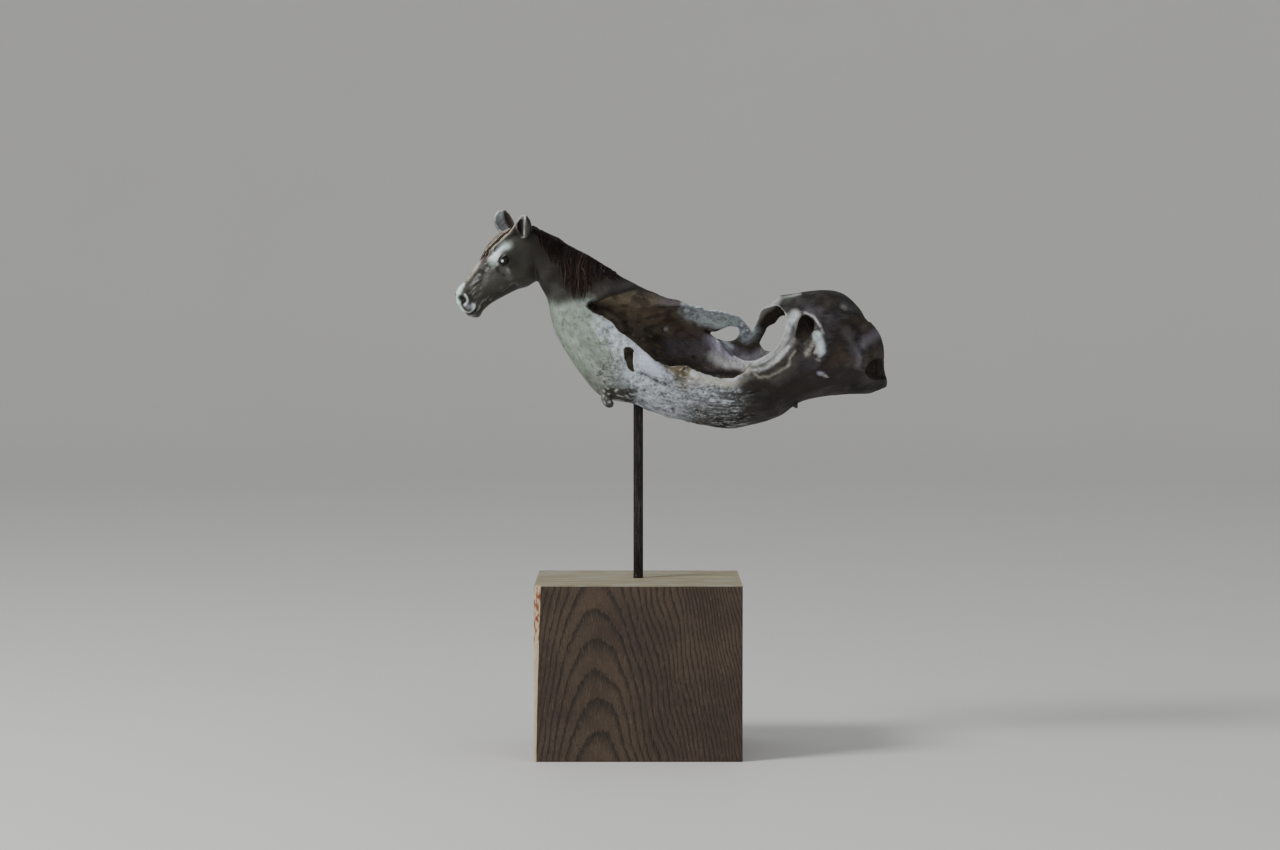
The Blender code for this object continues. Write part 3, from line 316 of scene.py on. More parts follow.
def ragged(points, count, amount, seed):
    """The line with evenly spaced points, each set off by a little, as a broken edge is."""
    line = along(points, count)
    for number, point in enumerate(line):
        spot = Vector((point[0] * 0.45, point[1] * 0.45, seed))
        push = noise.noise_vector(spot) + 0.5 * noise.noise_vector(spot * 2.7)
        ends = min(1, number / 3, (count - 1 - number) / 3)
        point[0] += amount * ends * push.x
        point[1] += amount * ends * push.y
    return line


def to_world(points):
    """Figure millimetres to the world."""
    return np.asarray(points, float) * MM + np.array(ROD_MOUTH)


def to_figure(points):
    """World points to figure millimetres."""
    return (np.asarray(points, float) - np.array(ROD_MOUTH)) / MM


def points_of(mesh):
    points = np.empty(len(mesh.vertices) * 3)
    mesh.vertices.foreach_get("co", points)
    return points.reshape(-1, 3)


def normals_of(mesh):
    out = np.empty(len(mesh.vertices) * 3)
    mesh.vertices.foreach_get("normal", out)
    return out.reshape(-1, 3)


def new_mesh(name, points, faces):
    """A mesh object from world points. Faces that point inwards are turned round."""
    mesh = bpy.data.meshes.new(name)
    mesh.from_pydata([tuple(point) for point in points], [], faces)
    body = bmesh.new()
    body.from_mesh(mesh)
    bmesh.ops.recalc_face_normals(body, faces=body.faces)
    if body.calc_volume(signed=True) < 0:
        bmesh.ops.reverse_faces(body, faces=body.faces)
    body.to_mesh(mesh)
    body.free()
    piece = bpy.data.objects.new(name, mesh)
    bpy.context.scene.collection.objects.link(piece)
    return piece


def loft(name, rings):
    """A closed skin over rings of the same number of points, with flat ends."""
    rings = np.asarray(rings, float)
    count, around = rings.shape[:2]
    faces = [tuple(range(around))[::-1], tuple(range((count - 1) * around, count * around))]
    for ring in range(count - 1):
        for step in range(around):
            after = (step + 1) % around
            faces.append((
                ring * around + step,
                ring * around + after,
                (ring + 1) * around + after,
                (ring + 1) * around + step,
            ))
    return new_mesh(name, to_world(rings.reshape(-1, 3)), faces)


def slab(name, outline, y_near, y_far):
    """A flat outline, seen from the near side, with the depth between y_near and y_far."""
    curve = bpy.data.curves.new(name, "CURVE")
    curve.dimensions = "2D"
    curve.fill_mode = "BOTH"
    curve.extrude = (y_far - y_near) / 2 * MM
    edge = curve.splines.new("POLY")
    edge.points.add(len(outline) - 1)
    for point, (x, z) in zip(edge.points, outline):
        point.co = (x * MM, z * MM, 0, 1)
    edge.use_cyclic_u = True
    guide = bpy.data.objects.new(name, curve)
    bpy.context.scene.collection.objects.link(guide)
    guide.rotation_euler = (math.pi / 2, 0, 0)
    guide.location = ROD_MOUTH + Vector((0, (y_near + y_far) / 2 * MM, 0))
    return made_mesh(guide)


def made_mesh(piece):
    """A new mesh object with the shape that piece has after its modifiers. The old one is removed."""
    bpy.context.view_layer.update()
    shape = piece.evaluated_get(bpy.context.evaluated_depsgraph_get())
    mesh = bpy.data.meshes.new_from_object(shape)
    mesh.transform(piece.matrix_world)
    body = bmesh.new()
    body.from_mesh(mesh)
    bmesh.ops.remove_doubles(body, verts=body.verts, dist=0.01 * MM)
    body.to_mesh(mesh)
    body.free()
    name = piece.name
    bpy.data.objects.remove(piece)
    made = bpy.data.objects.new(name, mesh)
    bpy.context.scene.collection.objects.link(made)
    return made


def cut(piece, cutters):
    """Piece with every cutter taken out of it, one after the other. The cutters are used up."""
    for cutter in cutters:
        step = piece.modifiers.new(cutter.name, "BOOLEAN")
        step.operation = "DIFFERENCE"
        step.solver = "EXACT"
        step.object = cutter
        piece = made_mesh(piece)
        bpy.data.objects.remove(cutter)
    return piece


# The driftwood body


def ball(name, middle, reach, segments=24):
    """A round body at a place in the figure, with its reach along x, y and z."""
    bpy.ops.mesh.primitive_uv_sphere_add(segments=segments, ring_count=segments * 2 // 3, radius=MM)
    piece = bpy.context.object
    piece.name = name
    piece.scale = reach
    piece.location = to_world(middle)
    return made_mesh(piece)


def slice_rings(rows, around):
    """Rings of the outer skin for rows laid out as SKIN is."""
    turn = np.linspace(0, 2 * math.pi, around, endpoint=False)
    top, bottom = rows[:, None, 0:2], rows[:, None, 2:4]
    middle, half = (top + bottom) / 2, (top - bottom) / 2
    rise = np.cos(turn)[None, :, None]
    side = middle + half * rise
    width = rows[:, 4:5] * np.sin(turn) * (1 - rows[:, 5:6] * (1 + np.cos(turn)) / 2)
    return np.stack([side[..., 0], width, side[..., 1]], axis=-1)


def outward(grid):
    """The outward unit directions of a grid of rings, from its neighbours."""
    along_rings = np.gradient(grid, axis=0)
    padded = np.concatenate([grid[:, -1:], grid, grid[:, :1]], axis=1)
    around_ring = (padded[:, 2:] - padded[:, :-2]) / 2
    out = np.cross(along_rings, around_ring)
    out /= np.linalg.norm(out, axis=2, keepdims=True) + 1e-9
    middle = grid.mean(axis=1, keepdims=True)
    if ((grid - middle) * out).sum() < 0:
        out = -out
    return out


def gap_to_line(points, line):
    """The distance of every point to a line of points."""
    line = np.asarray(line, float)
    if len(line) == 1:
        return np.linalg.norm(points - line[0], axis=-1)
    best = np.full(points.shape[:-1], 1e9)
    for start, end in zip(line[:-1], line[1:]):
        way = end - start
        share = np.clip(((points - start) @ way) / (way @ way), 0, 1)
        best = np.minimum(best, np.linalg.norm(points - start - share[..., None] * way, axis=-1))
    return best


def falloff(gap, reach):
    """1 at the middle of a mark and 0 at its reach, smooth at both."""
    share = np.clip(1 - gap / reach, 0, 1)
    return share * share * (3 - 2 * share)


def ramp(values, low, high):
    """0 below low, 1 above high and smooth between."""
    share = np.clip((values - low) / (high - low), 0, 1)
    return share * share * (3 - 2 * share)


def body_skin():
    """The outer skin with its marks and the low waves of worn wood."""
    rows = spline(SKIN, SKIN_SLICES)
    grid = slice_rings(rows, SKIN_STEPS)
    out = outward(grid)
    seen = grid[..., [0, 2]]
    push = np.zeros(grid.shape[:2])
    for side, line, reach, height in SKIN_MARKS:
        weight = falloff(gap_to_line(seen, line), reach) * (grid[..., 1] * side > -2)
        push += weight * height
    worn = np.clip((grid[..., 0] + 40) / 40, 0.15, 1)
    for ring in range(grid.shape[0]):
        for step in range(grid.shape[1]):
            spot = Vector(grid[ring, step])
            wave = noise.noise(spot * 0.055) * 1.0 + noise.noise(spot * 0.16) * 0.45
            push[ring, step] += wave * worn[ring, step]
    return loft("body_skin", grid + out * push[..., None])


def hollow():
    """The room inside the body, which keeps the wall that HOLLOW names."""
    rows = spline(HOLLOW, 60)
    skin = spline_at(SKIN, rows[:, 0])
    top, bottom = skin[:, 0:2], skin[:, 2:4]
    line = (top - bottom) / np.linalg.norm(top - bottom, axis=1, keepdims=True)
    bottom = bottom + line * rows[:, 1:2] * WALL
    top = top - line * rows[:, 2:3] * WALL
    far = skin[:, 4] - rows[:, 3] * WALL
    near = skin[:, 4] - rows[:, 4] * WALL
    slices = np.column_stack([top, bottom, (far + near) / 2, skin[:, 5]])
    rings = slice_rings(slices, 64)
    rings[..., 1] += ((far - near) / 2)[:, None]
    return loft("hollow", rings)


def flank_opening():
    """What is missing from the near flank. Its upper side slopes in from the neck to the far wall."""
    columns = 160
    outside = -45.0
    rim = ragged(NEAR_RIM, columns, 0.45, 3.1)
    top = along(OPENING_TOP, columns)
    deep = along(OPENING_DEEP, columns)
    rings = []
    for lower, upper, inner in zip(rim, top, deep):
        halfway = (upper + inner) / 2 - np.array([0.0, 2.2, 0.0])
        rings.append([
            (lower[0], outside, lower[1]),
            (upper[0], outside, upper[2]),
            tuple(upper),
            tuple(halfway),
            tuple(inner),
            (lower[0], inner[1], lower[1]),
        ])
    return loft("flank_opening", rings)


def top_opening():
    """What is missing above the far wall and in front of the dome."""
    edge = [tuple(point) for point in ragged(FAR_RIM, 130, 0.6, 5.7)]
    outline = edge + [(72.8, 90.0), (3.5, 90.0)]
    return slab("top_opening", outline, -45, 45)


def window(name, outline, y_near, y_far, seed):
    """A hole with a broken edge, between the depths y_near and y_far."""
    edge = ragged(spline(outline, 60, closed=True), 64, 0.45, seed)
    return slab(name, edge, y_near, y_far)


def saddle():
    """The sheet that rises from the floor of the hollow and sweeps over to the near flank."""
    thick = WALL * 0.8
    edge, foot = spline(SADDLE_EDGE, 60), spline(SADDLE_FOOT, 60)
    rings = []
    for upper, lower in zip(edge, foot):
        sag = (upper + lower) / 2 + np.array([2.0, 2.5, -1.0])
        line = spline([upper, sag, lower], 12)
        behind = line + np.array([0.75, 0.6, -0.1]) * thick
        rings.append(np.concatenate([line, behind[::-1]]))
    return loft("saddle", rings)


def driftwood():
    """The body with its room, its windows and its broken edges."""
    windows = [
        window("far_hole", FAR_HOLE, 2, 45, 1.7),
        window("far_window", FAR_WINDOW, -2, 45, 2.9),
        window("flank_window", FLANK_WINDOW, -45, -6, 6.2),
        window("chest_hole", CHEST_HOLE, -45, -12, 9.3),
        window("rump_notch", RUMP_NOTCH, -45, 45, 7.4),
    ]
    bowl = ball("rump_bowl", RUMP_BOWL, RUMP_BOWL_REACH)
    return cut(body_skin(), [hollow(), top_opening(), *windows, bowl, flank_opening()])


def tube_rings(path, radii, flat=1.0, across=(0, 1, 0), steps=10):
    """Rings of a tapered cord along a path, thinner by flat across the given direction."""
    path = np.asarray(path, float)
    way = np.gradient(path, axis=0)
    way /= np.linalg.norm(way, axis=1, keepdims=True)
    side = np.cross(way, np.asarray(across, float))
    side /= np.linalg.norm(side, axis=1, keepdims=True)
    over = np.cross(side, way)
    turn = np.linspace(0, 2 * math.pi, steps, endpoint=False)[None, :, None]
    spread = side[:, None] * np.cos(turn) + over[:, None] * np.sin(turn) * flat
    return path[:, None] + spread * np.asarray(radii, float)[:, None, None]


def trail(name, path, radii, flat=1.0, across=(0, 1, 0)):
    """A tapered cord along a path, as a piece."""
    return loft(name, tube_rings(path, radii, flat, across))


def stubs():
    """The stubs that stand out under the chest and the belly, and the wedge in the flank's window."""
    chest = spline([(-15, -6, 10), (-16.5, -8, 4.5), (-15.0, -9, 1.2), (-12.5, -9, 0.4)], 8)
    belly = spline([(78, -6, 5), (80, -7, 1), (81.5, -7, -1.4)], 6)
    ridge = spline([(84, -24, 26), (86.5, -23.5, 31), (88.5, -22.5, 36)], 8)
    return [
        trail("chest_stub", chest, [4.5, 3.6, 3.0, 2.8, 2.6, 2.4, 2.0, 1.2]),
        trail("belly_stub", belly, [4.0, 3.2, 2.4, 1.7, 1.1, 0.6]),
        trail("window_wedge", ridge, [1.2, 2.2, 2.9, 3.1, 2.8, 2.2, 1.5, 0.8], 0.6),
    ]


# The head


def head_axes():
    """The head's forward, sideways and upward directions in the figure."""
    yaw, pitch, roll = (math.radians(angle) for angle in (HEAD_YAW, HEAD_PITCH, HEAD_ROLL))
    forward = np.array([
        -math.cos(pitch) * math.cos(yaw), -math.cos(pitch) * math.sin(yaw), -math.sin(pitch),
    ])
    level = np.array([-math.sin(yaw), math.cos(yaw), 0])
    upright = np.array([
        -math.sin(pitch) * math.cos(yaw), -math.sin(pitch) * math.sin(yaw), math.cos(pitch),
    ])
    sideways = level * math.cos(roll) + upright * math.sin(roll)
    upward = upright * math.cos(roll) - level * math.sin(roll)
    return np.array([forward, sideways, upward])


def from_head(points):
    """Head millimetres, which are u forward, v to the far side and w up, to figure millimetres."""
    return np.asarray(points, float) @ head_axes() + np.array(HEAD_ORIGIN)


def to_head(points):
    """Figure millimetres to head millimetres."""
    return (np.asarray(points, float) - np.array(HEAD_ORIGIN)) @ head_axes().T


def skull():
    """The head without ears, eyes and hair, slice by slice from the poll to the lips."""
    rows = spline(HEAD, HEAD_SLICES)
    u, top, bottom = rows[:, 0], rows[:, 1], rows[:, 2]
    grid = []
    for number in range(HEAD_SLICES):
        drop = top[number] - (top[number] - bottom[number]) * np.array([0, 0.09, 0.30, 0.60, 0.88, 1])
        wide = np.array([0, *rows[number, 3:7], 0])
        one_side = np.stack([np.full(6, u[number]), wide, drop], axis=1)
        other = one_side[4:0:-1] * np.array([1, -1, 1])
        bend = np.array([0, HEAD_BEND * min(u[number] - 3, 0), 0])
        grid.append(spline(np.concatenate([one_side, other]) + bend, HEAD_STEPS, closed=True))
    grid = np.array(grid)
    for u0, v0, w0, reach, height in HEAD_MARKS:
        out = outward(grid)
        push = np.zeros(grid.shape[:2])
        for side in (-1, 1):
            middle = np.array([u0, v0 * side, w0])
            push = np.maximum(push, falloff(np.linalg.norm(grid - middle, axis=-1), reach))
        grid = grid + out * (push * height)[..., None]
    for side in (-1, 1):
        for line, reach, deep in HEAD_GROOVES:
            out = outward(grid)
            gap = gap_to_line(grid, np.array(line) * np.array([1, side, 1]))
            grid = grid - out * (falloff(gap, reach) * deep)[..., None]
    return loft("skull", from_head(grid.reshape(-1, 3)).reshape(grid.shape))


def ear(side):
    """A cupped ear. Side is -1 for the near one and 1 for the far one."""
    foot = np.array([-0.6, 5.8 * side, 9.8])
    tip = np.array(EAR_TIPS[side])
    bend = (foot + tip) / 2 + np.array([1.2, 1.2 * side, 0.4])
    line = spline([foot, bend, tip], EAR_SLICES)
    way = np.gradient(line, axis=0)
    way /= np.linalg.norm(way, axis=1, keepdims=True)
    facing = np.array(EAR_FACINGS[side])
    radii = spline(EAR_RADII, EAR_SLICES)
    rings = []
    for number in range(EAR_SLICES):
        back = -(facing - way[number] * (facing @ way[number]))
        back /= np.linalg.norm(back)
        across = np.cross(way[number], back)
        radius, inner, half = radii[number]
        arc = np.radians(np.linspace(-half, half, EAR_STEPS))[:, None]
        outer_arc = back * np.cos(arc) + across * np.sin(arc)
        rings.append(line[number] + np.concatenate([outer_arc * radius, outer_arc[::-1] * inner]))
    return loft("ear", from_head(np.array(rings).reshape(-1, 3)).reshape(EAR_SLICES, -1, 3))


def lids(side):
    """The two lids of an eye, and the socket's filling under the eyeball."""
    middle = np.array([EYE[0], EYE[1] * side, EYE[2]])
    pieces = [ball("socket", from_head(middle), (EYE_RADIUS * 0.6,) * 3)]
    for lift, rise in ((1, 1.55), (-1, 1.2)):
        corners = [
            middle + np.array([3.3, -0.2 * side, -0.8]),
            middle + np.array([1.9, 1.4 * side, 0.2 + 0.95 * rise * lift]),
            middle + np.array([-0.2, 1.6 * side, 0.2 + 1.3 * rise * lift]),
            middle + np.array([-2.3, 1.2 * side, 0.2 + 0.95 * rise * lift]),
            middle + np.array([-3.3, -0.3 * side, 0.3]),
        ]
        line = from_head(spline(corners, 14))
        radii = 0.2 + 0.3 * np.sin(np.linspace(0, math.pi, 14)) ** 0.7
        pieces.append(trail("lid", line, radii))
    return pieces


def muzzle_folds(side):
    """The curled rim of a nostril and the lips."""
    rim = [(44.2, 3.9 * side, 6.8), (43.7, 4.7 * side, 5.0), (44.4, 4.9 * side, 2.9), (45.9, 4.1 * side, 1.8)]
    lip = [(47.0, 0.8 * side, -2.0), (46.0, 3.2 * side, -2.6), (42.4, 5.0 * side, -2.6)]
    under = [(46.0, 0.8 * side, -5.2), (45.0, 2.6 * side, -5.5), (42.0, 4.2 * side, -5.5)]
    folds = []
    for name, line, thick in (("nostril_rim", rim, 0.6), ("upper_lip", lip, 0.55), ("lower_lip", under, 0.55)):
        path = from_head(spline(line, 12))
        radii = thick * (0.45 + 0.55 * np.sin(np.linspace(0.1, math.pi - 0.1, 12)))
        folds.append(trail(name, path, radii, 0.8, (0, 0, 1)))
    return folds


def nearest_skin(piece):
    """A tree to find the nearest spot of a mesh's surface."""
    body = bmesh.new()
    body.from_mesh(piece.data)
    tree = BVHTree.FromBMesh(body)
    body.free()
    return tree


def laid_on(tree, path, sink):
    """The path moved on to the skin, with its middle line that deep below it."""
    laid = []
    for point in to_world(path):
        spot, out, _, _ = tree.find_nearest(Vector(point))
        laid.append(to_figure(np.array(spot - out * sink * MM)))
    return np.array(laid)


def mane_locks(tree, count, radius):
    """The locks that hang from the crest over the near side of the neck."""
    roots = along(MANE_ROOTS, count)
    tips = along(MANE_TIPS, count)
    locks = []
    for number, (root, tip) in enumerate(zip(roots, tips)):
        swing = 1.3 * math.sin(number * 2.4)
        reach = 0.93 + 0.09 * math.sin(number * 1.7 + 1)
        middle = root + (tip - root) * 0.5 + np.array([swing - 0.8, -3.5, 1.0])
        end = root + (tip - root) * reach
        path = laid_on(tree, spline([root, middle, end], 10), 0.25)
        radii = radius * np.array([0.8, 1, 1.1, 1.1, 1.05, 1, 0.9, 0.7, 0.5, 0.2])
        locks.append(trail("lock", path, radii, 0.5))
    return locks


def forelock_locks(tree):
    """The thick strands that fall from between the ears over the forehead."""
    strands = []
    for number in range(7):
        share = number / 6 * 2 - 1
        long = 1 - 0.35 * abs(share)
        knots = [
            (-1.5, 3.4 * share - 0.6, 16.0),
            (4.5, 4.4 * share - 0.6, 17.5),
            (4.5 + 9 * long, 4.6 * share - 0.8, 17.0),
            (5.5 + 18 * long, 3.4 * share - 0.8 * math.sin(number * 2.1), 14.5),
        ]
        path = laid_on(tree, from_head(spline(knots, 10)), -0.25)
        radii = 1.25 * np.array([0.7, 1, 1.1, 1.1, 1, 0.95, 0.85, 0.7, 0.5, 0.2])
        strands.append(trail("forelock_strand", path, radii, 0.8, (0, 0, 1)))
    return strands


# Putting the figure together


def grown_together(name, pieces, grain, smoothings):
    """The pieces as one skin: joined, grown together and smoothed."""
    body = bmesh.new()
    for piece in pieces:
        body.from_mesh(piece.data)
        bpy.data.objects.remove(piece)
    mesh = bpy.data.meshes.new(name)
    body.to_mesh(mesh)
    body.free()
    whole = bpy.data.objects.new(name, mesh)
    bpy.context.scene.collection.objects.link(whole)
    grow = whole.modifiers.new("grow together", "REMESH")
    grow.mode = "VOXEL"
    grow.voxel_size = grain
    ease = whole.modifiers.new("ease", "SMOOTH")
    ease.factor = 0.5
    ease.iterations = smoothings
    return made_mesh(whole)


def blended(piece, iterations):
    """The piece with the joint of head and neck smoothed, so that one runs in to the other."""
    group = piece.vertex_groups.new(name="joint")
    spots = to_world(np.concatenate([from_head(JOINT_SPOTS), TURN_SPOTS]))
    points = points_of(piece.data)
    weight = np.zeros(len(points))
    for spot in spots:
        gap = np.linalg.norm(points - spot, axis=1)
        weight = np.maximum(weight, falloff(gap, JOINT_REACH * MM))
    for number in np.nonzero(weight > 0.02)[0]:
        group.add([int(number)], float(weight[number]), "REPLACE")
    ease = piece.modifiers.new("ease the joint", "SMOOTH")
    ease.vertex_group = "joint"
    ease.factor = 0.8
    ease.iterations = iterations
    return made_mesh(piece)


def thinned(piece, triangles):
    """The piece with that many triangles, most of them kept on the head and its hair."""
    group = piece.vertex_groups.new(name="thin here")
    drawn = to_figure(points_of(piece.data))
    middles = from_head([(16, 0, 4), (44, 0, 0), (-3, 0, 15)])
    gap = np.min([np.linalg.norm(drawn - middle, axis=1) for middle in middles], axis=0)
    near_head = np.nonzero(gap < 17)[0].tolist()
    rest = np.nonzero(gap >= 17)[0].tolist()
    group.add(near_head, 0.0001, "REPLACE")
    group.add(rest, 1.0, "REPLACE")
    now = sum(len(face.vertices) - 2 for face in piece.data.polygons)
    thin = piece.modifiers.new("thin", "DECIMATE")
    thin.ratio = triangles / now
    thin.vertex_group = "thin here"
    thin.vertex_group_factor = 0.000002
    thin.use_collapse_triangulate = True
    return made_mesh(piece)


class Spots:
    """The points of the figure's mesh, with what paint and wear need to know about each."""

    def __init__(self, mesh, skin_tree):
        self.at = to_figure(points_of(mesh))
        self.out = normals_of(mesh)
        self.head = to_head(self.at)
        self.count = len(self.at)
        self.seen = self.at[:, [0, 2]]
        self.vectors = [Vector(point) for point in self.at]
        world = to_world(self.at)
        depth = np.empty(self.count)
        level = np.empty(self.count)
        for number in range(self.count):
            spot, out, _, _ = skin_tree.find_nearest(Vector(world[number]))
            depth[number] = -((world[number] - np.array(spot)) @ np.array(out)) / MM
            level[number] = self.out[number] @ np.array(out)
        self.depth = depth
        head_line = [(-4, 0, 2), (8, 0, 1), (20, 0, 2), (34, 0, 1), (46, 0, 0)]
        ears = np.minimum(
            gap_to_line(self.head, [(-1, -6, 11), EAR_TIPS[-1]]),
            gap_to_line(self.head, [(-1, 6, 11), EAR_TIPS[1]]),
        )
        self.ears = falloff(ears, 8.0)
        self.on_head = np.maximum(ramp(-gap_to_line(self.head, head_line), -19, -15), ramp(-ears, -8, -6))
        skin_side = np.maximum(ramp(-depth, -2.6, -1.8) * ramp(level, 0.0, 0.45), ramp(-depth, -0.6, -0.2))
        self.outside = np.maximum(skin_side, self.on_head)
        self.inside = (1 - self.outside) * np.maximum(ramp(depth, 2.4, 3.2), ramp(-level, 0.0, 0.4))
        self.broken = (1 - self.outside) * (1 - self.inside)
        self.near = ramp(-self.at[:, 1], -3, 3)
        self.drift = self.waves(0.16, 71.0)

    def waves(self, scale, seed=0.0, stretch=(1, 1, 1)):
        """Soft noise at every point, from -1 to 1. Scale is in waves to the millimetre."""
        shift = Vector((seed, seed * 1.7, -seed))
        stretch = Vector(stretch) * scale
        return np.array([noise.noise(point * stretch + shift) for point in self.vectors])

    def creases(self, scale, seed=0.0):
        """Noise that is 0 along thin winding creases and rises away from them."""
        shift = Vector((seed, -seed, seed * 2.3))
        return np.array([
            abs(noise.noise(point * scale + shift)) + 0.35 * abs(noise.noise(point * scale * 2.3 - shift))
            for point in self.vectors
        ])


# Where the worn wood is rough on the near flank, as x, z and reach in millimetres
ROUGH_PLACES = [
    (-14, 36, 9), (-8, 26, 11), (2, 12, 10), (10, 14, 10), (22, 11, 12), (36, 6, 12), (46, 3, 10),
    (0, 3, 9), (14, 2, 10), (30, -3, 10), (44, -6, 8), (-14, 16, 8),
]


def worn_relief(spots):
    """How far every point is pushed out, in millimetres: pits, crumbled edges, fibres and cracks."""
    coarse = spots.waves(0.3, 3.0)
    fine = spots.waves(0.85, 11.0)
    lumps = spots.creases(0.26, 7.0)
    small = spots.creases(0.6, 13.0)
    streaks = fibres(spots, UNDERSIDE, 0.55, 5.0)
    rough = roughness_of(spots)
    body = 1 - spots.on_head
    streaky = ramp(spots.at[:, 0], 12, 30) * spots.outside * body
    push = 0.06 * streaks * body + 0.3 * streaky * rough * streaks
    middling = spots.waves(0.55, 17.0)
    push += rough * (0.4 * coarse + 0.3 * middling + 0.2 * fine)
    push -= rough * 0.6 * ramp(middling + 0.6 * fine, 0.12, 0.55) * ramp(-coarse, -0.35, 0.1)
    push -= rough * 0.12 * ramp(-lumps, -0.12, -0.01) * ramp(coarse, -0.2, 0.4)
    crumbled = spots.broken * body
    push += crumbled * (0.2 * fine + 0.2 * coarse - 0.4 * ramp(-small, -0.16, -0.02))
    rump = ramp(spots.at[:, 0], 58, 76) * spots.outside
    push += rump * (0.10 * coarse + 0.05 * fine)
    for line, reach, deep in CRACKS:
        push -= falloff(gap_to_line(spots.seen, line) + 0.4 * fine, reach) * deep * spots.near * body
    strip = falloff(gap_to_line(spots.seen, STRIP), 6) * spots.near * body
    push += strip * 0.25 * fibres(spots, STRIP, 0.7, 9.0)
    cavity = falloff(gap_to_line(spots.seen, [(-24, 51), (-20, 49.5), (-16.5, 48)]), 4.5) * spots.near
    push -= cavity * (0.3 + 1.4 * ramp(-small, -0.2, -0.02)) * (spots.depth < 6)
    wall = spots.inside * body
    push += wall * (0.25 * spots.waves(0.18, 61.0, (0.35, 1, 1)) + 0.08 * fine)
    return push


# Lines that the wood's fibres follow: the underside, and the strip beside the window
UNDERSIDE = [(-46, 50), (-42.7, 37.5), (-37, 27), (-29, 15.4), (-18, 4), (-1.6, 0), (15, -6), (34, -10), (54, -11),
             (71, -6), (83, 1), (96, 5), (128, 10)]
STRIP = [(40, 34), (44, 28), (50, 23.5), (58, 21), (66, 24.5), (71.8, 30.2), (75.3, 36.5), (76.5, 42.7), (79.6, 47)]

# Cracks and creases of the near flank: the line of x and z, the reach and the depth
CRACKS = [
    ([(1.0, 17.2), (4.6, 14.8), (9.0, 12.6), (13.5, 11.0)], 1.3, 1.1),
    ([(-2.6, 18.0), (2.0, 15.8)], 1.2, 0.8),
    ([(-8.0, 14.0), (-1.0, 9.0), (6.0, 5.5)], 1.0, 0.5),
    ([(58.4, 16.4), (63.0, 14.4), (68.0, 15.0), (73.0, 18.0), (76.8, 23.0), (80.5, 27.6)], 1.6, 0.7),
    ([(40.0, 2.0), (52.0, 5.0), (62.0, 8.0)], 1.0, 0.45),
    ([(38.0, -2.5), (50.0, -0.5), (60.0, 2.5)], 0.9, 0.4),
    ([(71.8, 51.0), (75.0, 53.0), (79.0, 53.5)], 2.6, 0.7),
    ([(112.5, 30.0), (114.8, 25.0), (114.2, 20.0)], 1.8, 0.9),
]


def beside(points, line):
    """How far along a line each point lies, and how far to one side of it."""
    line = np.asarray(line, float)
    best = np.full(len(points), 1e9)
    walked = np.zeros(len(points))
    across = np.zeros(len(points))
    start_at = 0.0
    for start, end in zip(line[:-1], line[1:]):
        way = end - start
        long = np.linalg.norm(way)
        share = np.clip(((points - start) @ way) / (way @ way), 0, 1)
        off = points - start - share[:, None] * way
        gap = np.linalg.norm(off, axis=1)
        side = np.sign(way[0] * off[:, 1] - way[1] * off[:, 0])
        closer = gap < best
        best[closer] = gap[closer]
        walked[closer] = start_at + share[closer] * long
        across[closer] = (side * gap)[closer]
        start_at += long
    return walked, across


def fibres(spots, line, fine, seed):
    """Streaks that run along a line of x and z, from -1 to 1. Fine is how many cross a millimetre."""
    walked, across = beside(spots.seen, line)
    depth = spots.at[:, 1]
    return np.array([
        noise.noise(Vector((s * 0.09, t * fine, seed + y * 0.35 * fine)))
        + 0.5 * noise.noise(Vector((s * 0.22, t * fine * 2.3, seed * 2 + y * fine)))
        for s, t, y in zip(walked, across, depth)
    ])


def roughness_of(spots):
    """How crumbled the surface is at every point, from 0 to 1."""
    rough = np.zeros(spots.count)
    for x, z, reach in ROUGH_PLACES:
        rough = np.maximum(rough, falloff(np.linalg.norm(spots.seen - (x, z), axis=1), reach * 1.45))
    rough = ramp(rough + 0.25 * spots.drift, 0.15, 0.75)
    rough *= spots.near * spots.outside * (1 - spots.on_head)
    smooth_patch = falloff(gap_to_line(spots.seen, PATCH), 5.5) * spots.near
    smooth_rim = falloff(gap_to_line(spots.seen, [(31, 15.5), (40, 13.0), (50, 14.0)]), 5.0) * spots.near
    rough *= 1 - 0.95 * smooth_patch
    rough *= 1 - 0.35 * smooth_rim
    far_rim = falloff(gap_to_line(spots.seen, [(31, 46), (42, 45), (52, 42), (58, 37)]), 7.5)
    rough = np.maximum(rough, far_rim * (spots.at[:, 1] > 6) * 0.9)
    wedge = falloff(gap_to_line(spots.seen, [(87, 29), (90, 36)]), 6.0) * spots.near
    return np.maximum(rough, wedge * 0.8)


# The smooth pale patch beside the hole in the chest
PATCH = [(2.5, 27.0), (3.5, 21.0), (8.5, 18.5)]


def linear(colour):
    """A colour from 0 to 255 as light."""
    value = np.asarray(colour, float) / 255
    return np.where(value <= 0.04045, value / 12.92, ((value + 0.055) / 1.055) ** 2.4)


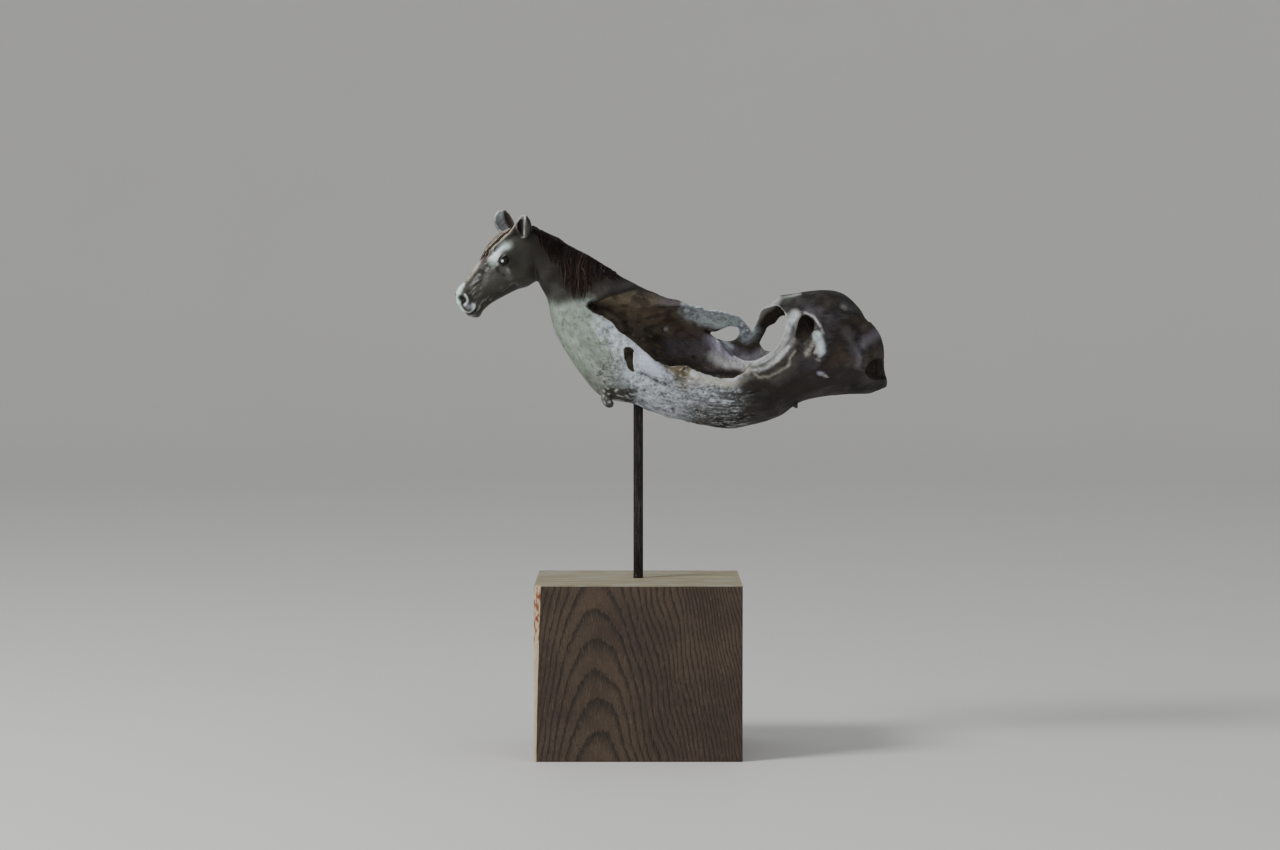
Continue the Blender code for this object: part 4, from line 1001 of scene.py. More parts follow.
class Coat:
    """The paint on the figure, laid stroke over stroke."""

    def __init__(self, spots):
        self.spots = spots
        self.colour = np.tile(linear(PAINTS["umber"]), (spots.count, 1))
        self.blur = spots.waves(0.22, 21.0) * 0.9 + spots.waves(0.6, 31.0) * 0.7

    def lay(self, paint, weight):
        """Paint laid where weight is above 0."""
        weight = np.clip(weight, 0, 1)[:, None]
        self.colour += (linear(PAINTS[paint]) - self.colour) * weight

    def stroke(self, paint, where, line, reach, strength=1.0, soft=1.0):
        """A brush stroke along a line of x and z, on one part of the figure."""
        gap = gap_to_line(self.spots.seen, np.asarray(line, float)) + self.blur * reach * 0.22 * soft
        self.lay(paint, falloff(gap, reach) ** 0.7 * strength * where)

    def head_stroke(self, paint, line, reach, strength=1.0):
        """A brush stroke along a line of u, v and w on the head."""
        for side in (-1, 1):
            mirrored = np.asarray(line, float) * np.array([1, side, 1])
            gap = gap_to_line(self.spots.head, mirrored) + self.blur * reach * 0.15
            self.lay(paint, falloff(gap, reach) ** 0.7 * strength * self.spots.on_head)

    def strokes(self, where, rows):
        """Strokes on one part of the figure, one over the other: paint, line, reach, strength and softness."""
        for paint, line, *amounts in rows:
            self.stroke(paint, where, line, *amounts)

    def head_strokes(self, rows):
        """Strokes on the head, one over the other: paint, line, reach and strength."""
        for paint, line, *amounts in rows:
            self.head_stroke(paint, line, *amounts)



def painted(spots, relief):
    """The colour of every point of the figure."""
    coat = Coat(spots)
    body = 1 - spots.on_head
    near = spots.near * spots.outside * body
    near_side = spots.near * body
    paint_body(coat, spots, near, near_side)
    paint_hollow(coat, spots)
    paint_edges(coat, spots, near, near_side)
    paint_neck_and_mane(coat, spots)
    paint_head(coat, spots, relief)
    coat.stroke("dusk", spots.outside * (1 - spots.ears), [(-52, 82), (-49.5, 74), (-46.5, 64)], 9.5, 0.85)
    rough = roughness_of(spots)
    pale = ramp(coat.colour.mean(axis=1), 0.1, 0.4)
    cavity = ramp(-relief, 0.03, 0.3)
    ridge = ramp(relief, 0.04, 0.25)
    # Painted shade: points in the hollows of the relief are darkened with dark umber, as occlusion would shade them.
    coat.lay("dark umber", cavity * (0.3 + 0.15 * rough) * (1 - 0.6 * spots.on_head) * (1 - spots.ears))
    coat.lay("white", ridge * rough * pale * 0.3)
    coat.lay("grey", ridge * (1 - rough) * body * 0.15)
    return coat.colour


def paint_body(coat, spots, near, near_side):
    """The outer skin: the chest, the pale flank and the dark rump."""
    far = (1 - spots.near) * spots.outside * (1 - spots.on_head)
    x, z = spots.seen.T
    streaks = fibres(spots, UNDERSIDE, 0.8, 23.0)
    fine_streaks = fibres(spots, UNDERSIDE, 1.6, 29.0)
    mottle = spots.waves(0.1, 51.0)
    coat.lay("rump brown", spots.outside)
    coat.lay("soot", spots.outside * ramp(streaks, 0.0, 0.6) * 0.35)
    coat.lay("rust", spots.outside * ramp(x, 84, 104) * ramp(mottle, 0.05, 0.4) * 0.35)
    coat.lay("lilac grey", spots.outside * ramp(x, 62, 80) * ramp(-mottle + 0.3 * fine_streaks, 0.1, 0.5) * 0.3)
    coat.lay("soot", spots.outside * ramp(x, 66, 84) * ramp(z, 20, 34) * 0.4)
    coat.lay("olive brown", spots.outside * ramp(-x, 8, 26))
    coat.strokes(near, [
        ("celadon", [(-41, 47), (-38, 38), (-30, 24), (-20, 15), (-14, 10)], 14, 0.95),
        ("celadon", [(-27, 46), (-22, 38), (-14, 28)], 12, 0.9),
        ("celadon", [(-37, 51), (-30, 49), (-25, 48)], 5, 0.5),
        ("green grey", [(-46, 50), (-42, 38), (-34, 25), (-24, 14)], 4.5, 0.6),
    ])
    coat.stroke("celadon", far, [(-40, 46), (-34, 30), (-24, 16)], 13, 0.6)
    coat.strokes(near, [
        ("olive grey", [(-27, 14), (-22, 9), (-15, 6)], 7, 0.6),
        ("blue white", [(-18, 41), (-8, 31), (2, 22)], 9, 0.8),
        ("blue white", [(-4, 16), (6, 8), (18, 3), (30, 6), (42, 6)], 13, 0.85),
        ("blue white", [(2, 0), (14, -2), (24, -5)], 8, 0.7),
        ("grey", [(-20, 14), (-12, 20), (-10, 8)], 9, 0.6),
        ("grey", [(30, -4), (38, -2), (50, 4)], 11, 0.6),
        ("dusk", [(34, -12), (48, -9), (58, -4)], 6, 0.7),
    ])
    coat.stroke("grey", far, [(-14, 12), (10, 6), (40, 0)], 13, 0.4)
    coat.stroke("straw", near, [(12, 17), (20, 18), (27, 15), (24, 11)], 5.5, 0.55)
    coat.stroke("cream", near, [(28, 16), (34, 13.5), (44, 12), (52, 14), (56, 18)], 4.8, 0.85)
    coat.lay("blue white", near * falloff(gap_to_line(spots.seen, [(28, 15), (40, 12), (54, 15)]), 6)
             * ramp(spots.waves(0.5, 79.0), 0.0, 0.35) * 0.7)
    coat.strokes(near, [
        ("lilac blue", PATCH, 5.8, 1.0, 0.35),
        ("lilac blue", [(12, 17.5), (15.5, 15.5)], 3.6, 0.8),
        ("rump brown", [(62, 12), (72, 14), (84, 12), (98, 14), (112, 13)], 12, 0.9),
        ("dusk", [(56, 9), (64, 4), (76, 3)], 9, 0.8),
    ])
    flank = near * ramp(-x, -62, -48) * ramp(-z, -12, -8)
    coat.lay("dusk", flank * ramp(x, 12, 40) * ramp(-streaks, -0.1, 0.35) * 0.62)
    coat.lay("dusk", flank * ramp(x, -12, 4) * ramp(-fine_streaks, 0.05, 0.5) * 0.45)
    patches = spots.waves(0.3, 71.0) + 0.5 * spots.waves(0.8, 73.0)
    coat.lay("olive grey", flank * ramp(x, -20, -12) * ramp(-x, -34, -20) * ramp(patches, 0.05, 0.5) * 0.6)
    coat.lay("grey", flank * ramp(x, 4, 14) * ramp(-patches, 0.0, 0.5) * 0.5)
    coat.lay("blue white", flank * ramp(x, 24, 36) * ramp(fine_streaks + 0.5 * streaks, 0.2, 0.7) * 0.5)
    chest = near * ramp(-x, 10, 18) * ramp(-z, -52, -46)
    coat.lay("green grey", chest * ramp(spots.waves(0.35, 93.0) + 0.5 * fine_streaks, -0.25, 0.35) * 0.7)
    coat.lay("olive brown", chest * ramp(spots.waves(0.9, 97.0) + 0.6 * fine_streaks, 0.25, 0.6) * 0.5)
    coat.lay("dusk", chest * ramp(spots.waves(0.45, 95.0), 0.25, 0.5) * ramp(-z, -30, -12) * 0.6)
    coat.lay("dusk", near_side * ramp(spots.drift, 0.1, 0.5) * ramp(-x, 4, 10) * ramp(x, -24, -14)
             * ramp(-z, -36, -28) * 0.35)


def paint_hollow(coat, spots):
    """The inside of the hollow: the ramp from the neck, the far wall and the saddle."""
    inside = spots.inside
    x, y = spots.at[:, 0], spots.at[:, 1]
    grain = [(-26, 58), (-8, 54), (8, 48), (24, 38), (40, 28), (56, 22)]
    streaks = fibres(spots, grain, 0.5, 33.0)
    fine_streaks = fibres(spots, grain, 1.1, 37.0)
    coat.lay("warm brown", inside * (0.35 + 0.4 * ramp(-x, -16, 2)))
    coat.lay("dusk", inside * ramp(streaks, 0.0, 0.5) * 0.4)
    far_wall = inside * (y > 0)
    coat.strokes(inside, [
        ("warm brown", [(-18, 55), (-8, 52), (4, 50), (16, 46), (28, 42)], 11, 1.0),
        ("warm brown", [(6, 44), (18, 38), (30, 30)], 9, 0.6),
        ("straw", [(-16, 57), (-8, 53), (2, 50), (8, 46)], 7, 0.4),
        # Painted shade: the next dusk stroke darkens the deep lower part of the far wall, below the near rim.
        ("dusk", [(6, 34), (18, 26), (30, 18)], 9, 0.55),
        ("olive grey", [(-16, 58), (-4, 60), (6, 60), (14, 57)], 4, 0.5),
        ("dusk", [(-12, 66), (-2, 62), (6, 60)], 4, 0.5),
    ])
    coat.lay("dusk", inside * ramp(spots.waves(0.22, 63.0), 0.05, 0.4) * ramp(-x, -34, -20) * 0.6)
    coat.lay("straw", inside * ramp(fine_streaks, 0.2, 0.6) * ramp(-x, -34, -5) * 0.5)
    coat.lay("lilac grey", inside * ramp(-fine_streaks, 0.3, 0.7) * ramp(x, -20, 20) * 0.5)
    coat.stroke("lilac grey", far_wall, [(20, 30), (34, 28), (46, 24)], 9, 0.6)
    coat.lay("dusk", far_wall * ramp(fine_streaks, 0.1, 0.5) * ramp(x, 14, 24) * 0.5)
    coat.strokes(inside, [
        ("lilac", [(38, 33), (44, 28), (50, 24), (58, 22), (66, 25)], 6, 0.9),
        ("bone", [(38, 25), (42, 22.5), (47, 21)], 4, 0.7),
        ("bone", [(50, 22), (57, 21), (66, 26), (71, 32), (75, 41)], 4.5, 0.8),
    ])
    along_strip = fibres(spots, STRIP, 0.9, 41.0)
    strip = falloff(gap_to_line(spots.seen, STRIP), 7) * inside
    coat.lay("lilac grey", strip * ramp(along_strip, 0.0, 0.4) * 0.7)
    coat.lay("dusk", strip * ramp(-along_strip, 0.25, 0.6) * 0.6)
    # Painted highlight: a blue-white stroke along the saddle's upper edge, where the light catches it.
    coat.stroke("blue white", inside, [(41.9, 33.4), (45, 31.5), (48.2, 29.4)], 2.4, 0.95)
    coat.strokes(far_wall, [
        # Painted shade: the first black stroke fills the gap behind the saddle's upper edge.
        ("soot", [(34.8, 38), (41, 34.5), (45.6, 28.5), (48.4, 25.6)], 1.4, 0.95),
        ("plum", [(4, 50), (16, 43), (28, 35)], 4, 0.3),
        ("straw", [(8, 56), (16, 51), (27, 44)], 1.6, 0.35),
        ("bone", [(14.3, 38.8)], 1.6, 0.8),
        ("soot", [(28.9, 24.3)], 1.5, 0.9),
    ])
    # Painted shade: two black patches stand for the dark insides of holes under the saddle's rim.
    coat.stroke("soot", inside, [(34.8, 15.5), (42, 16.0)], 3.2, 0.85)
    coat.stroke("soot", inside, [(44.5, 15.8), (51, 16.2)], 3.0, 0.85)


def paint_edges(coat, spots, near, near_side):
    """Broken edges, the weathered rims, the strip by the window, the spongy wedge and the torn skin."""
    body = 1 - spots.on_head
    x, y, z = spots.at.T
    rim_top = np.interp(x, [-26, -10, 3, 16, 50, 60, 70, 76], [52, 42, 31, 25, 20, 27, 34, 48])
    near_rim = spots.broken * body * (z < rim_top) * (y < 0)
    coat.lay("umber", spots.broken * body)
    coat.lay("cream", near_rim * ramp(-x, -58, -48) * 0.85)
    coat.lay("grey", spots.broken * body * ramp(x, 58, 64) * 0.5)
    far_side = (y > 4) * body
    coat.strokes(far_side, [
        ("blue white", [(28, 49), (37, 46), (45, 45), (52, 42), (57, 38.5)], 8.0, 1.0),
        ("white", [(33, 45), (40, 43), (48, 42.5)], 5.0, 1.0),
        ("lilac blue", [(53, 40), (55.5, 36.5), (56, 34)], 3.5, 0.9),
        ("lilac grey", [(12, 54), (22, 50), (29, 47)], 4.0, 0.6),
    ])
    coat.lay("white", far_side * ramp(spots.waves(0.5, 83.0), -0.1, 0.25)
             * falloff(gap_to_line(spots.seen, [(26, 49), (37, 46), (47, 43.5), (57, 38)]), 7.0))
    coat.stroke("umber", far_side, [(4, 60), (12, 57)], 4.0, 0.6)
    coat.stroke("dusk", near_side, [(62, 39), (64, 33), (68, 30)], 4.5, 0.6)
    coat.stroke("bone", body, [(61.0, 43.2), (64.4, 48.5), (68.4, 51.0), (71.6, 54.8)], 3.0, 1.0, 0.4)
    coat.stroke("bone", body * (y > -6), [(62.0, 45.0), (66, 49.6)], 2.2, 0.8)
    coat.stroke("bone", near_side, [(70.3, 51.6), (74.9, 46.4)], 1.3, 1.0, 0.4)
    coat.stroke("bone", near_side, [(66.5, 51.5), (74, 55.3), (83, 57.2)], 1.0, 0.5)
    coat.stroke("green grey", near, [(70, 55), (76, 55)], 4.0, 0.4)
    coat.stroke("dusk", near_side, [(74.5, 52.5), (79, 52.5)], 3.0, 0.5)
    # Painted shade: black in the deep pocket at the front end of the hollow, under the neck.
    coat.stroke("soot", near_side * (spots.depth > 0.4), [(-24, 51), (-20, 49), (-16.5, 48)], 4.5, 0.9)

    along_strip = fibres(spots, STRIP, 1.0, 47.0)
    pale_strip = [(79.6, 46.7), (76.8, 42.7), (75.3, 36.5), (71.8, 30.2), (66.3, 25.6), (59.9, 22.6)]
    coat.strokes(near_side, [
        ("bone", pale_strip, 3.8, 1.0, 0.4),
        ("blue white", [(79.6, 46.6), (77.6, 43), (76.6, 38)], 1.8, 0.7, 0.4),
        ("grey", [(79.6, 41), (77.6, 33), (73.2, 27.0), (66, 21.2), (59, 18.6)], 2.8, 0.9, 0.4),
        ("bone", [(76, 30.5), (70.4, 23.6), (64, 19.6), (58.4, 18.2)], 1.4, 0.8, 0.4),
    ])
    strip = falloff(gap_to_line(spots.seen, [(78.6, 42), (76, 34), (70, 26), (60, 20.5)]), 5.5) * near_side
    coat.lay("dusk", strip * ramp(along_strip, 0.15, 0.6) * 0.6)
    coat.lay("white", strip * ramp(-along_strip, 0.2, 0.6) * 0.5)
    torn = [(58.4, 16.8), (61.5, 15.0), (66.3, 15.2), (71, 17.6), (75.7, 20.8), (77.0, 24.7), (79.5, 28)]
    coat.strokes(near_side, [
        ("olive grey", torn, 1.9, 0.8),
        ("cream", torn, 1.0, 0.55),
        ("bone", [(84.4, 47.7), (89.1, 45.6), (91.8, 41.4), (93.8, 37.2)], 0.9, 0.9, 0.4),
        ("olive grey", [(87, 28), (89.5, 34), (91, 36)], 4.6, 0.7),
        ("cream", [(86, 27), (88.5, 32)], 2.4, 0.5),
        ("bone", [(89.5, 27.5), (92.5, 33.5), (91.8, 37)], 1.6, 0.8),
        ("white", [(90.5, 36.0), (92.2, 31.2), (92.4, 28.0)], 3.2, 1.0, 0.5),
        ("bone", [(92.2, 26), (91.4, 24)], 1.1, 0.8),
    ])
    coat.strokes(near, [
        ("lilac grey", [(87, 48), (91, 48)], 4.0, 0.4),
        ("grey", [(104, 50.6), (105.5, 50)], 1.8, 0.8),
        ("lilac", [(91.6, 17.0), (93.2, 16.6)], 1.4, 0.9),
        ("bone", [(94.6, 15.6), (95.6, 15.2)], 0.9, 0.8),
        ("lilac grey", [(123.0, 37.6), (115.8, 33.3), (111.9, 27.8), (113.0, 21.5)], 4.4, 0.7),
        ("grey", [(114.6, 32.0), (112.2, 27.0), (112.8, 22.5)], 1.4, 0.6),
    ])
    # Painted shade: black in the bowl under the rump and along the underside below it, where the hollow lies in
    # shade.
    coat.stroke("soot", near_side, [(118, 21), (122, 19), (126, 16)], 6.0, 0.9)
    coat.stroke("soot", body, [(110, 7.6), (120, 8.4), (127, 10.5)], 5.5, 0.9)
    coat.stroke("soot", near, [(98, 57.5), (106, 55), (113, 50)], 3.0, 0.6)
    stub = near_side * (z < 9) * ramp(-x, 0, 3) * ramp(x, -20, -17)
    crumbs = spots.waves(0.5, 87.0)
    coat.lay("dark umber", stub * 0.8)
    coat.lay("bone", stub * ramp(crumbs, 0.16, 0.4) * 0.7)


def paint_neck_and_mane(coat, spots):
    """The dark neck, and the ground under the mane's hair."""
    body = spots.outside
    x, z = spots.seen.T
    # Two coats, the second a little higher
    for start in (74, 75):
        coat.stroke("dusk", body, [(-50, start), (-45, 66), (-40, 60)], 11, 0.85)
    coat.stroke("olive brown", body, [(-48, 60), (-43, 56), (-36, 57)], 5, 0.6)
    gap = gap_to_line(spots.seen, [(-53, 91), (-46, 83), (-38, 76), (-30, 70), (-20, 69), (-8, 66.5)])
    across = [-52, -43.2, -38.1, -34.4, -32.3, -29.5, -21.9, -14.5, -6]
    lower = np.interp(x, across, [88, 76, 70, 62.5, 57, 57.5, 64, 66.5, 66.5])
    ground = ramp(z - lower + 1.5 * coat.blur, -1.5, 1.0) * ramp(-gap, -16, -12) * ramp(-x, 4, 8)
    off_head = 1 - ramp(spots.head[:, 0], -4, -1)
    coat.lay("dark red", ground * body * off_head)
    coat.lay("soot", ground * body * off_head * ramp(-gap, -6, 0) * 0.6)
    coat.stroke("dusk", body * off_head, [(-24, 62), (-14, 65), (0, 62), (10, 58)], 5.5, 0.9)


def paint_head(coat, spots, relief):
    """The painted head, with its streaks, its pale brow and its white nose and lips."""
    x, y, z = spots.at.T
    head = spots.head
    face_only = spots.on_head * ramp(head[:, 0], -3, 2)
    coat.lay("olive grey", face_only)
    along_face = np.array([
        noise.noise(Vector((u * 0.13, v * 0.8, w * 1.0))) + 0.5 * noise.noise(Vector((u * 0.3, v * 2, w * 2.4)))
        for u, v, w in head
    ])
    coat.head_strokes([
        ("olive brown", [(0, 7, 6), (6, 8.5, 4), (12, 9, 1)], 8.5, 0.8),
        ("olive brown", [(2, 8, -6), (12, 8, -9), (24, 5, -7), (34, 4, -5)], 7.5, 0.85),
        # Painted shade: the next dusk stroke darkens the underside of the jaw.
        ("dusk", [(2, 5, -15), (14, 4, -13.5), (28, 3, -9.5), (38, 2, -9)], 4.2, 0.9),
        ("dusk", [(8, 7.2, 8.8), (12, 9, 4), (16, 9.5, 3)], 4.6, 0.5),
    ])
    fold = np.abs(head)
    face = falloff(gap_to_line(fold, [(20, 4, 10), (30, 3.5, 8.0), (41, 4, 4)]), 6.5) * face_only
    coat.lay("dusk", face * ramp(along_face, 0.0, 0.35) * 0.9)
    coat.lay("bone", face * ramp(-along_face, 0.15, 0.55) * 0.5)
    coat.lay("grey", face_only * ramp(head[:, 0], 18, 24) * ramp(-along_face, 0.2, 0.6) * 0.25)
    coat.head_strokes([
        ("celadon", [(16.5, 5.6, 12.3), (20.5, 4.6, 11.9), (21, 6.2, 9.6)], 3.2, 0.9),
        ("celadon", [(9.0, 5.2, 11.2), (13, 5.6, 11.8), (17, 5.8, 11.6), (20.2, 5.2, 11.0)], 3.8, 0.75),
        ("white", [(10.4, 4.8, 11.4), (13, 5, 12.0), (17, 5.2, 12.1), (19.6, 4.6, 11.7)], 3.0, 1.0),
        ("white", [(17.6, 6.7, 10.6), (19.6, 6.2, 10.2)], 1.9, 0.8),
        ("soot", [(17.2, 9, 7.4)], 3.7, 0.95),
        ("bone", [(20.8, 7.4, 7.8), (19.4, 8.3, 9.6), (17.0, 9.0, 10.2), (14.8, 9.0, 9.6)], 0.75, 0.9),
        ("soot", [(21.8, 7.6, 6.4), (22.4, 7.4, 4.6)], 1.5, 0.8),
        ("grey", [(18.9, 8.2, 3.4), (19.4, 8.0, -0.4), (19.0, 7.8, -3.4)], 2.6, 0.6),
        ("bone", [(17.8, 8.3, 2.6), (17.9, 8.4, -0.6)], 1.1, 0.4),
        ("dusk", [(14.4, 9.4, 7.2), (12.0, 9.4, 6.0)], 2.6, 0.6),
        ("soot", [(20.9, 7.6, 1.2), (20.3, 7.8, -0.4), (21.4, 7.4, 2.2)], 0.9, 0.8),
        ("grey", [(25.4, 6.0, 7.2), (28.8, 4.9, 6.3), (31.6, 4.9, 3.4)], 1.9, 0.6),
        ("dusk", [(20.4, 4.5, -8.4), (22.4, 4.2, -8.0)], 1.5, 0.8),
        ("straw", [(26, 0.6, 12.2), (32, 0.6, 11.0), (38.5, 0.5, 9.8)], 2.0, 0.7),
        ("cream", [(24, 0.6, 12.6), (32, 0.9, 11.0), (38.5, 0.8, 9.8)], 1.5, 0.75),
    ])
    coat.lay("olive brown", falloff(gap_to_line(fold, [(25, 0.6, 12), (38, 0.6, 9.8)]), 3) * face_only
             * ramp(along_face, 0.05, 0.4) * 0.7)
    coat.head_strokes([
        ("plum", [(18.7, 3.9, 12.8), (21.5, 3.0, 12.8), (24.3, 2.0, 12.5)], 1.6, 0.95),
        ("soot", [(22.6, 3.4, 12.0), (24.8, 2.9, 11.4)], 0.7, 0.8),
        ("dusk", [(42.2, 5.3, 4.6), (41.6, 5.4, 2.4), (42.4, 5.2, 0.6)], 1.7, 0.85),
        ("white", [(40.0, 0.8, 9.5), (43.5, 1.4, 8.4), (46.4, 1.2, 5.8), (47.2, 0.8, 3.6)], 2.0, 1.0),
    ])
    # Two coats, so that no white shows through in the nostril
    for _ in range(2):
        coat.head_stroke("soot", [(45.8, 2.6, 5.6), (44.4, 1.9, 4.9), (45.4, 3.4, 4.6), (45.4, 3.7, 3.6)], 2.5, 1.0)
    coat.head_strokes([
        ("soot", [(43.5, 1.9, 8.1)], 0.6, 0.9),
        ("white", [(43.2, 4.7, 6.2), (43.4, 5.3, 4.2), (44.2, 5.2, 2.6), (46.2, 3.9, 1.5)], 0.8, 1.0),
        ("lilac", [(45.4, 4.2, 0.2), (44.4, 4.8, -1.0), (43.0, 5.2, -0.8)], 1.6, 0.8),
        ("white", [(47.2, 1.0, 1.4), (47.2, 0.9, -1.6), (46.2, 2.4, -3.0), (43.6, 4.8, -2.7),
          (42.8, 5.2, -1.2)], 1.35, 1.0),
        ("soot", [(46.6, 1.8, -4.3), (45.2, 3.6, -4.2), (41.2, 5.0, -3.9)], 1.1, 1.0),
        ("bone", [(46.0, 1.6, -5.8), (44.6, 2.8, -6.0)], 0.8, 0.8),
        ("dusk", [(43.0, 2.5, -8.2), (39, 3, -8), (36, 3.4, -7)], 3.0, 0.9),
    ])
    hair = falloff(gap_to_line(head, [(-3, 0, 16), (5, -0.5, 17.4), (14, -0.6, 16.8), (24, -0.5, 14)]), 6.5)
    hair = ramp(hair, 0.1, 0.35) * face_only * ramp(head[:, 2], 12.6, 13.6)
    coat.lay("dark umber", hair)
    coat.lay("cream", hair * ramp(relief, 0.05, 0.2) * 0.5)
    # Painted shade: black in the hollows between the forelock's locks.
    coat.lay("soot", hair * ramp(-relief, -0.02, 0.12) * 0.95)
    # Painted shadow: a dark line under the forelock's edge.
    coat.head_stroke("soot", [(2.7, 5.6, 13.6), (8.7, 4.9, 13.6), (16.6, 4.5, 12.8)], 1.0, 0.95)

    lobe = spots.ears * ramp(z, 84, 86)
    # The far ear is painted as the light from the left shows it: umber for its shaded right side, bone and white for
    # its lit left side. This is painted shade and painted light.
    far_ear_light_line_x = np.interp(z, [84, 90, 96, 102], [-63.5, -66.5, -69.0, -70.0])
    far_ear = lobe * (y > -2)
    coat.lay("umber", far_ear)
    coat.lay("bone", far_ear * ramp(far_ear_light_line_x - x, -0.6, 0.3))
    coat.lay("white", far_ear * ramp(far_ear_light_line_x - x, 0.2, 1.2) * ramp(along_face, -0.5, 0.0))
    near_ear = lobe * (y <= -2)
    facing = spots.out @ (np.array(EAR_FACINGS[-1]) @ head_axes())
    coat.lay("dusk", near_ear)
    coat.lay("olive grey", near_ear * ramp(facing, 0.1, 0.5) * 0.4)
    rim_x = np.interp(z, [85, 88, 94, 97], [-58.5, -58.8, -58.9, -58.6])
    coat.lay("bone", near_ear * ramp(relief, 0.14, 0.3) * ramp(facing, -0.6, -0.1))
    rim = ramp(x - rim_x, 0.0, 0.5) * ramp(rim_x + 1.7 + 0.5 * along_face - x, 0.0, 0.5)
    rim = np.maximum(rim, ramp(z, 94.8, 95.8) * ramp(-57.0 - x, 0.0, 0.6))
    coat.lay("bone", near_ear * rim * ramp(z + 1.5 * along_face, 84.6, 88.0))
    coat.lay("soot", near_ear * ramp(x - rim_x, 1.6, 2.3) * 0.75)


def hollowness(mesh, rounds):
    """How far each point lies outside the smoothed surface, in millimetres. Below 0 it is in a hollow."""
    points = points_of(mesh)
    edges = np.empty(len(mesh.edges) * 2, dtype=np.int64)
    mesh.edges.foreach_get("vertices", edges)
    edges = edges.reshape(-1, 2)
    degree = np.bincount(edges.ravel(), minlength=len(points)).astype(float)[:, None]
    eased = points.copy()
    for _ in range(rounds):
        total = np.zeros_like(eased)
        for axis in range(3):
            total[:, axis] = (
                np.bincount(edges[:, 0], weights=eased[edges[:, 1], axis], minlength=len(points))
                + np.bincount(edges[:, 1], weights=eased[edges[:, 0], axis], minlength=len(points))
            )
        eased = 0.4 * eased + 0.6 * total / degree
    return ((points - eased) * normals_of(mesh)).sum(axis=1) / MM


def add_colour(mesh, name, values):
    """A colour for every point of the mesh."""
    layer = mesh.attributes.new(name, "FLOAT_COLOR", "POINT")
    layer.data.foreach_set("color", np.column_stack([values, np.ones(len(values))]).ravel())


def add_number(mesh, name, values):
    """A number for every point of the mesh."""
    layer = mesh.attributes.new(name, "FLOAT", "POINT")
    layer.data.foreach_set("value", np.asarray(values, float))


# Finishes


class Wire:
    """A socket of a finish. Arithmetic on it adds Math nodes."""

    def __init__(self, finish, socket):
        self.finish = finish
        self.socket = socket

    def maths(self, operation, first, second=0.0):
        return self.finish.node("ShaderNodeMath", {"operation": operation}, {0: first, 1: second})

    def __add__(self, other):
        return self.maths("ADD", self, other)

    def __radd__(self, other):
        return self.maths("ADD", other, self)

    def __sub__(self, other):
        return self.maths("SUBTRACT", self, other)

    def __rsub__(self, other):
        return self.maths("SUBTRACT", other, self)

    def __mul__(self, other):
        return self.maths("MULTIPLY", self, other)

    def __rmul__(self, other):
        return self.maths("MULTIPLY", other, self)

    def __truediv__(self, other):
        return self.maths("DIVIDE", self, other)

    def __pow__(self, other):
        return self.maths("POWER", self, other)

    def between(self, low, high):
        """0 below low, 1 above high and smooth between."""
        return self.finish.node(
            "ShaderNodeMapRange",
            {"interpolation_type": "SMOOTHSTEP", "clamp": True},
            {"Value": self, "From Min": low, "From Max": high},
        )


class Finish:
    """A material of nodes, with its shader's own values set first."""

    def __init__(self, name, **values):
        self.material = bpy.data.materials.new(name)
        self.material.use_nodes = True
        self.tree = self.material.node_tree
        self.shader = self.tree.nodes["Principled BSDF"]
        for socket, value in values.items():
            self.shader.inputs[socket.replace("_", " ")].default_value = value

    def put(self, socket, value):
        """A value or a wire put in to a socket."""
        if isinstance(value, Wire):
            self.tree.links.new(value.socket, socket)
        elif isinstance(value, (tuple, list)) and len(value) == 3 and socket.type == "RGBA":
            socket.default_value = (*value, 1)
        else:
            socket.default_value = value

    def node(self, kind, settings=None, inputs=None, output=0):
        """Any node, with its settings, then what goes in to its sockets. Gives one of its outputs."""
        made = self.tree.nodes.new(kind)
        for name, value in (settings or {}).items():
            if name == "stops":
                band = made.color_ramp
                while len(band.elements) < len(value):
                    band.elements.new(0.5)
                for element, (place, colour) in zip(band.elements, value):
                    element.position = place
                    element.color = (*colour, 1)
            else:
                setattr(made, name, value)
        for name, value in (inputs or {}).items():
            if isinstance(name, str) and name.startswith("#"):
                socket = next(one for one in made.inputs if one.identifier == name[1:])
            else:
                socket = made.inputs[name]
            self.put(socket, value)
        return Wire(self, made.outputs[output])

    def mix(self, factor, first, second, blend="MIX"):
        """Two colours mixed."""
        return self.node(
            "ShaderNodeMix",
            {"data_type": "RGBA", "blend_type": blend, "clamp_factor": True},
            {"#Factor_Float": factor, "#A_Color": first, "#B_Color": second},
            2,
        )

    def places(self, scale=(1, 1, 1)):
        """Places on the piece in millimetres, stretched by scale."""
        where = self.node("ShaderNodeTexCoord", output="Object")
        size = tuple(1000 * part for part in scale)
        return self.node("ShaderNodeMapping", {}, {"Vector": where, "Scale": size})

    def noise(self, where, scale, detail=3.0, roughness=0.55):
        return self.node(
            "ShaderNodeTexNoise", {},
            {"Vector": where, "Scale": scale, "Detail": detail, "Roughness": roughness},
        )

    def attribute(self, name, output="Fac"):
        return self.node("ShaderNodeAttribute", {"attribute_name": name}, {}, output)

    def bump(self, height, distance, strength=1.0):
        normal = self.node("ShaderNodeBump", {}, {"Height": height, "Distance": distance, "Strength": strength})
        self.put(self.shader.inputs["Normal"], normal)


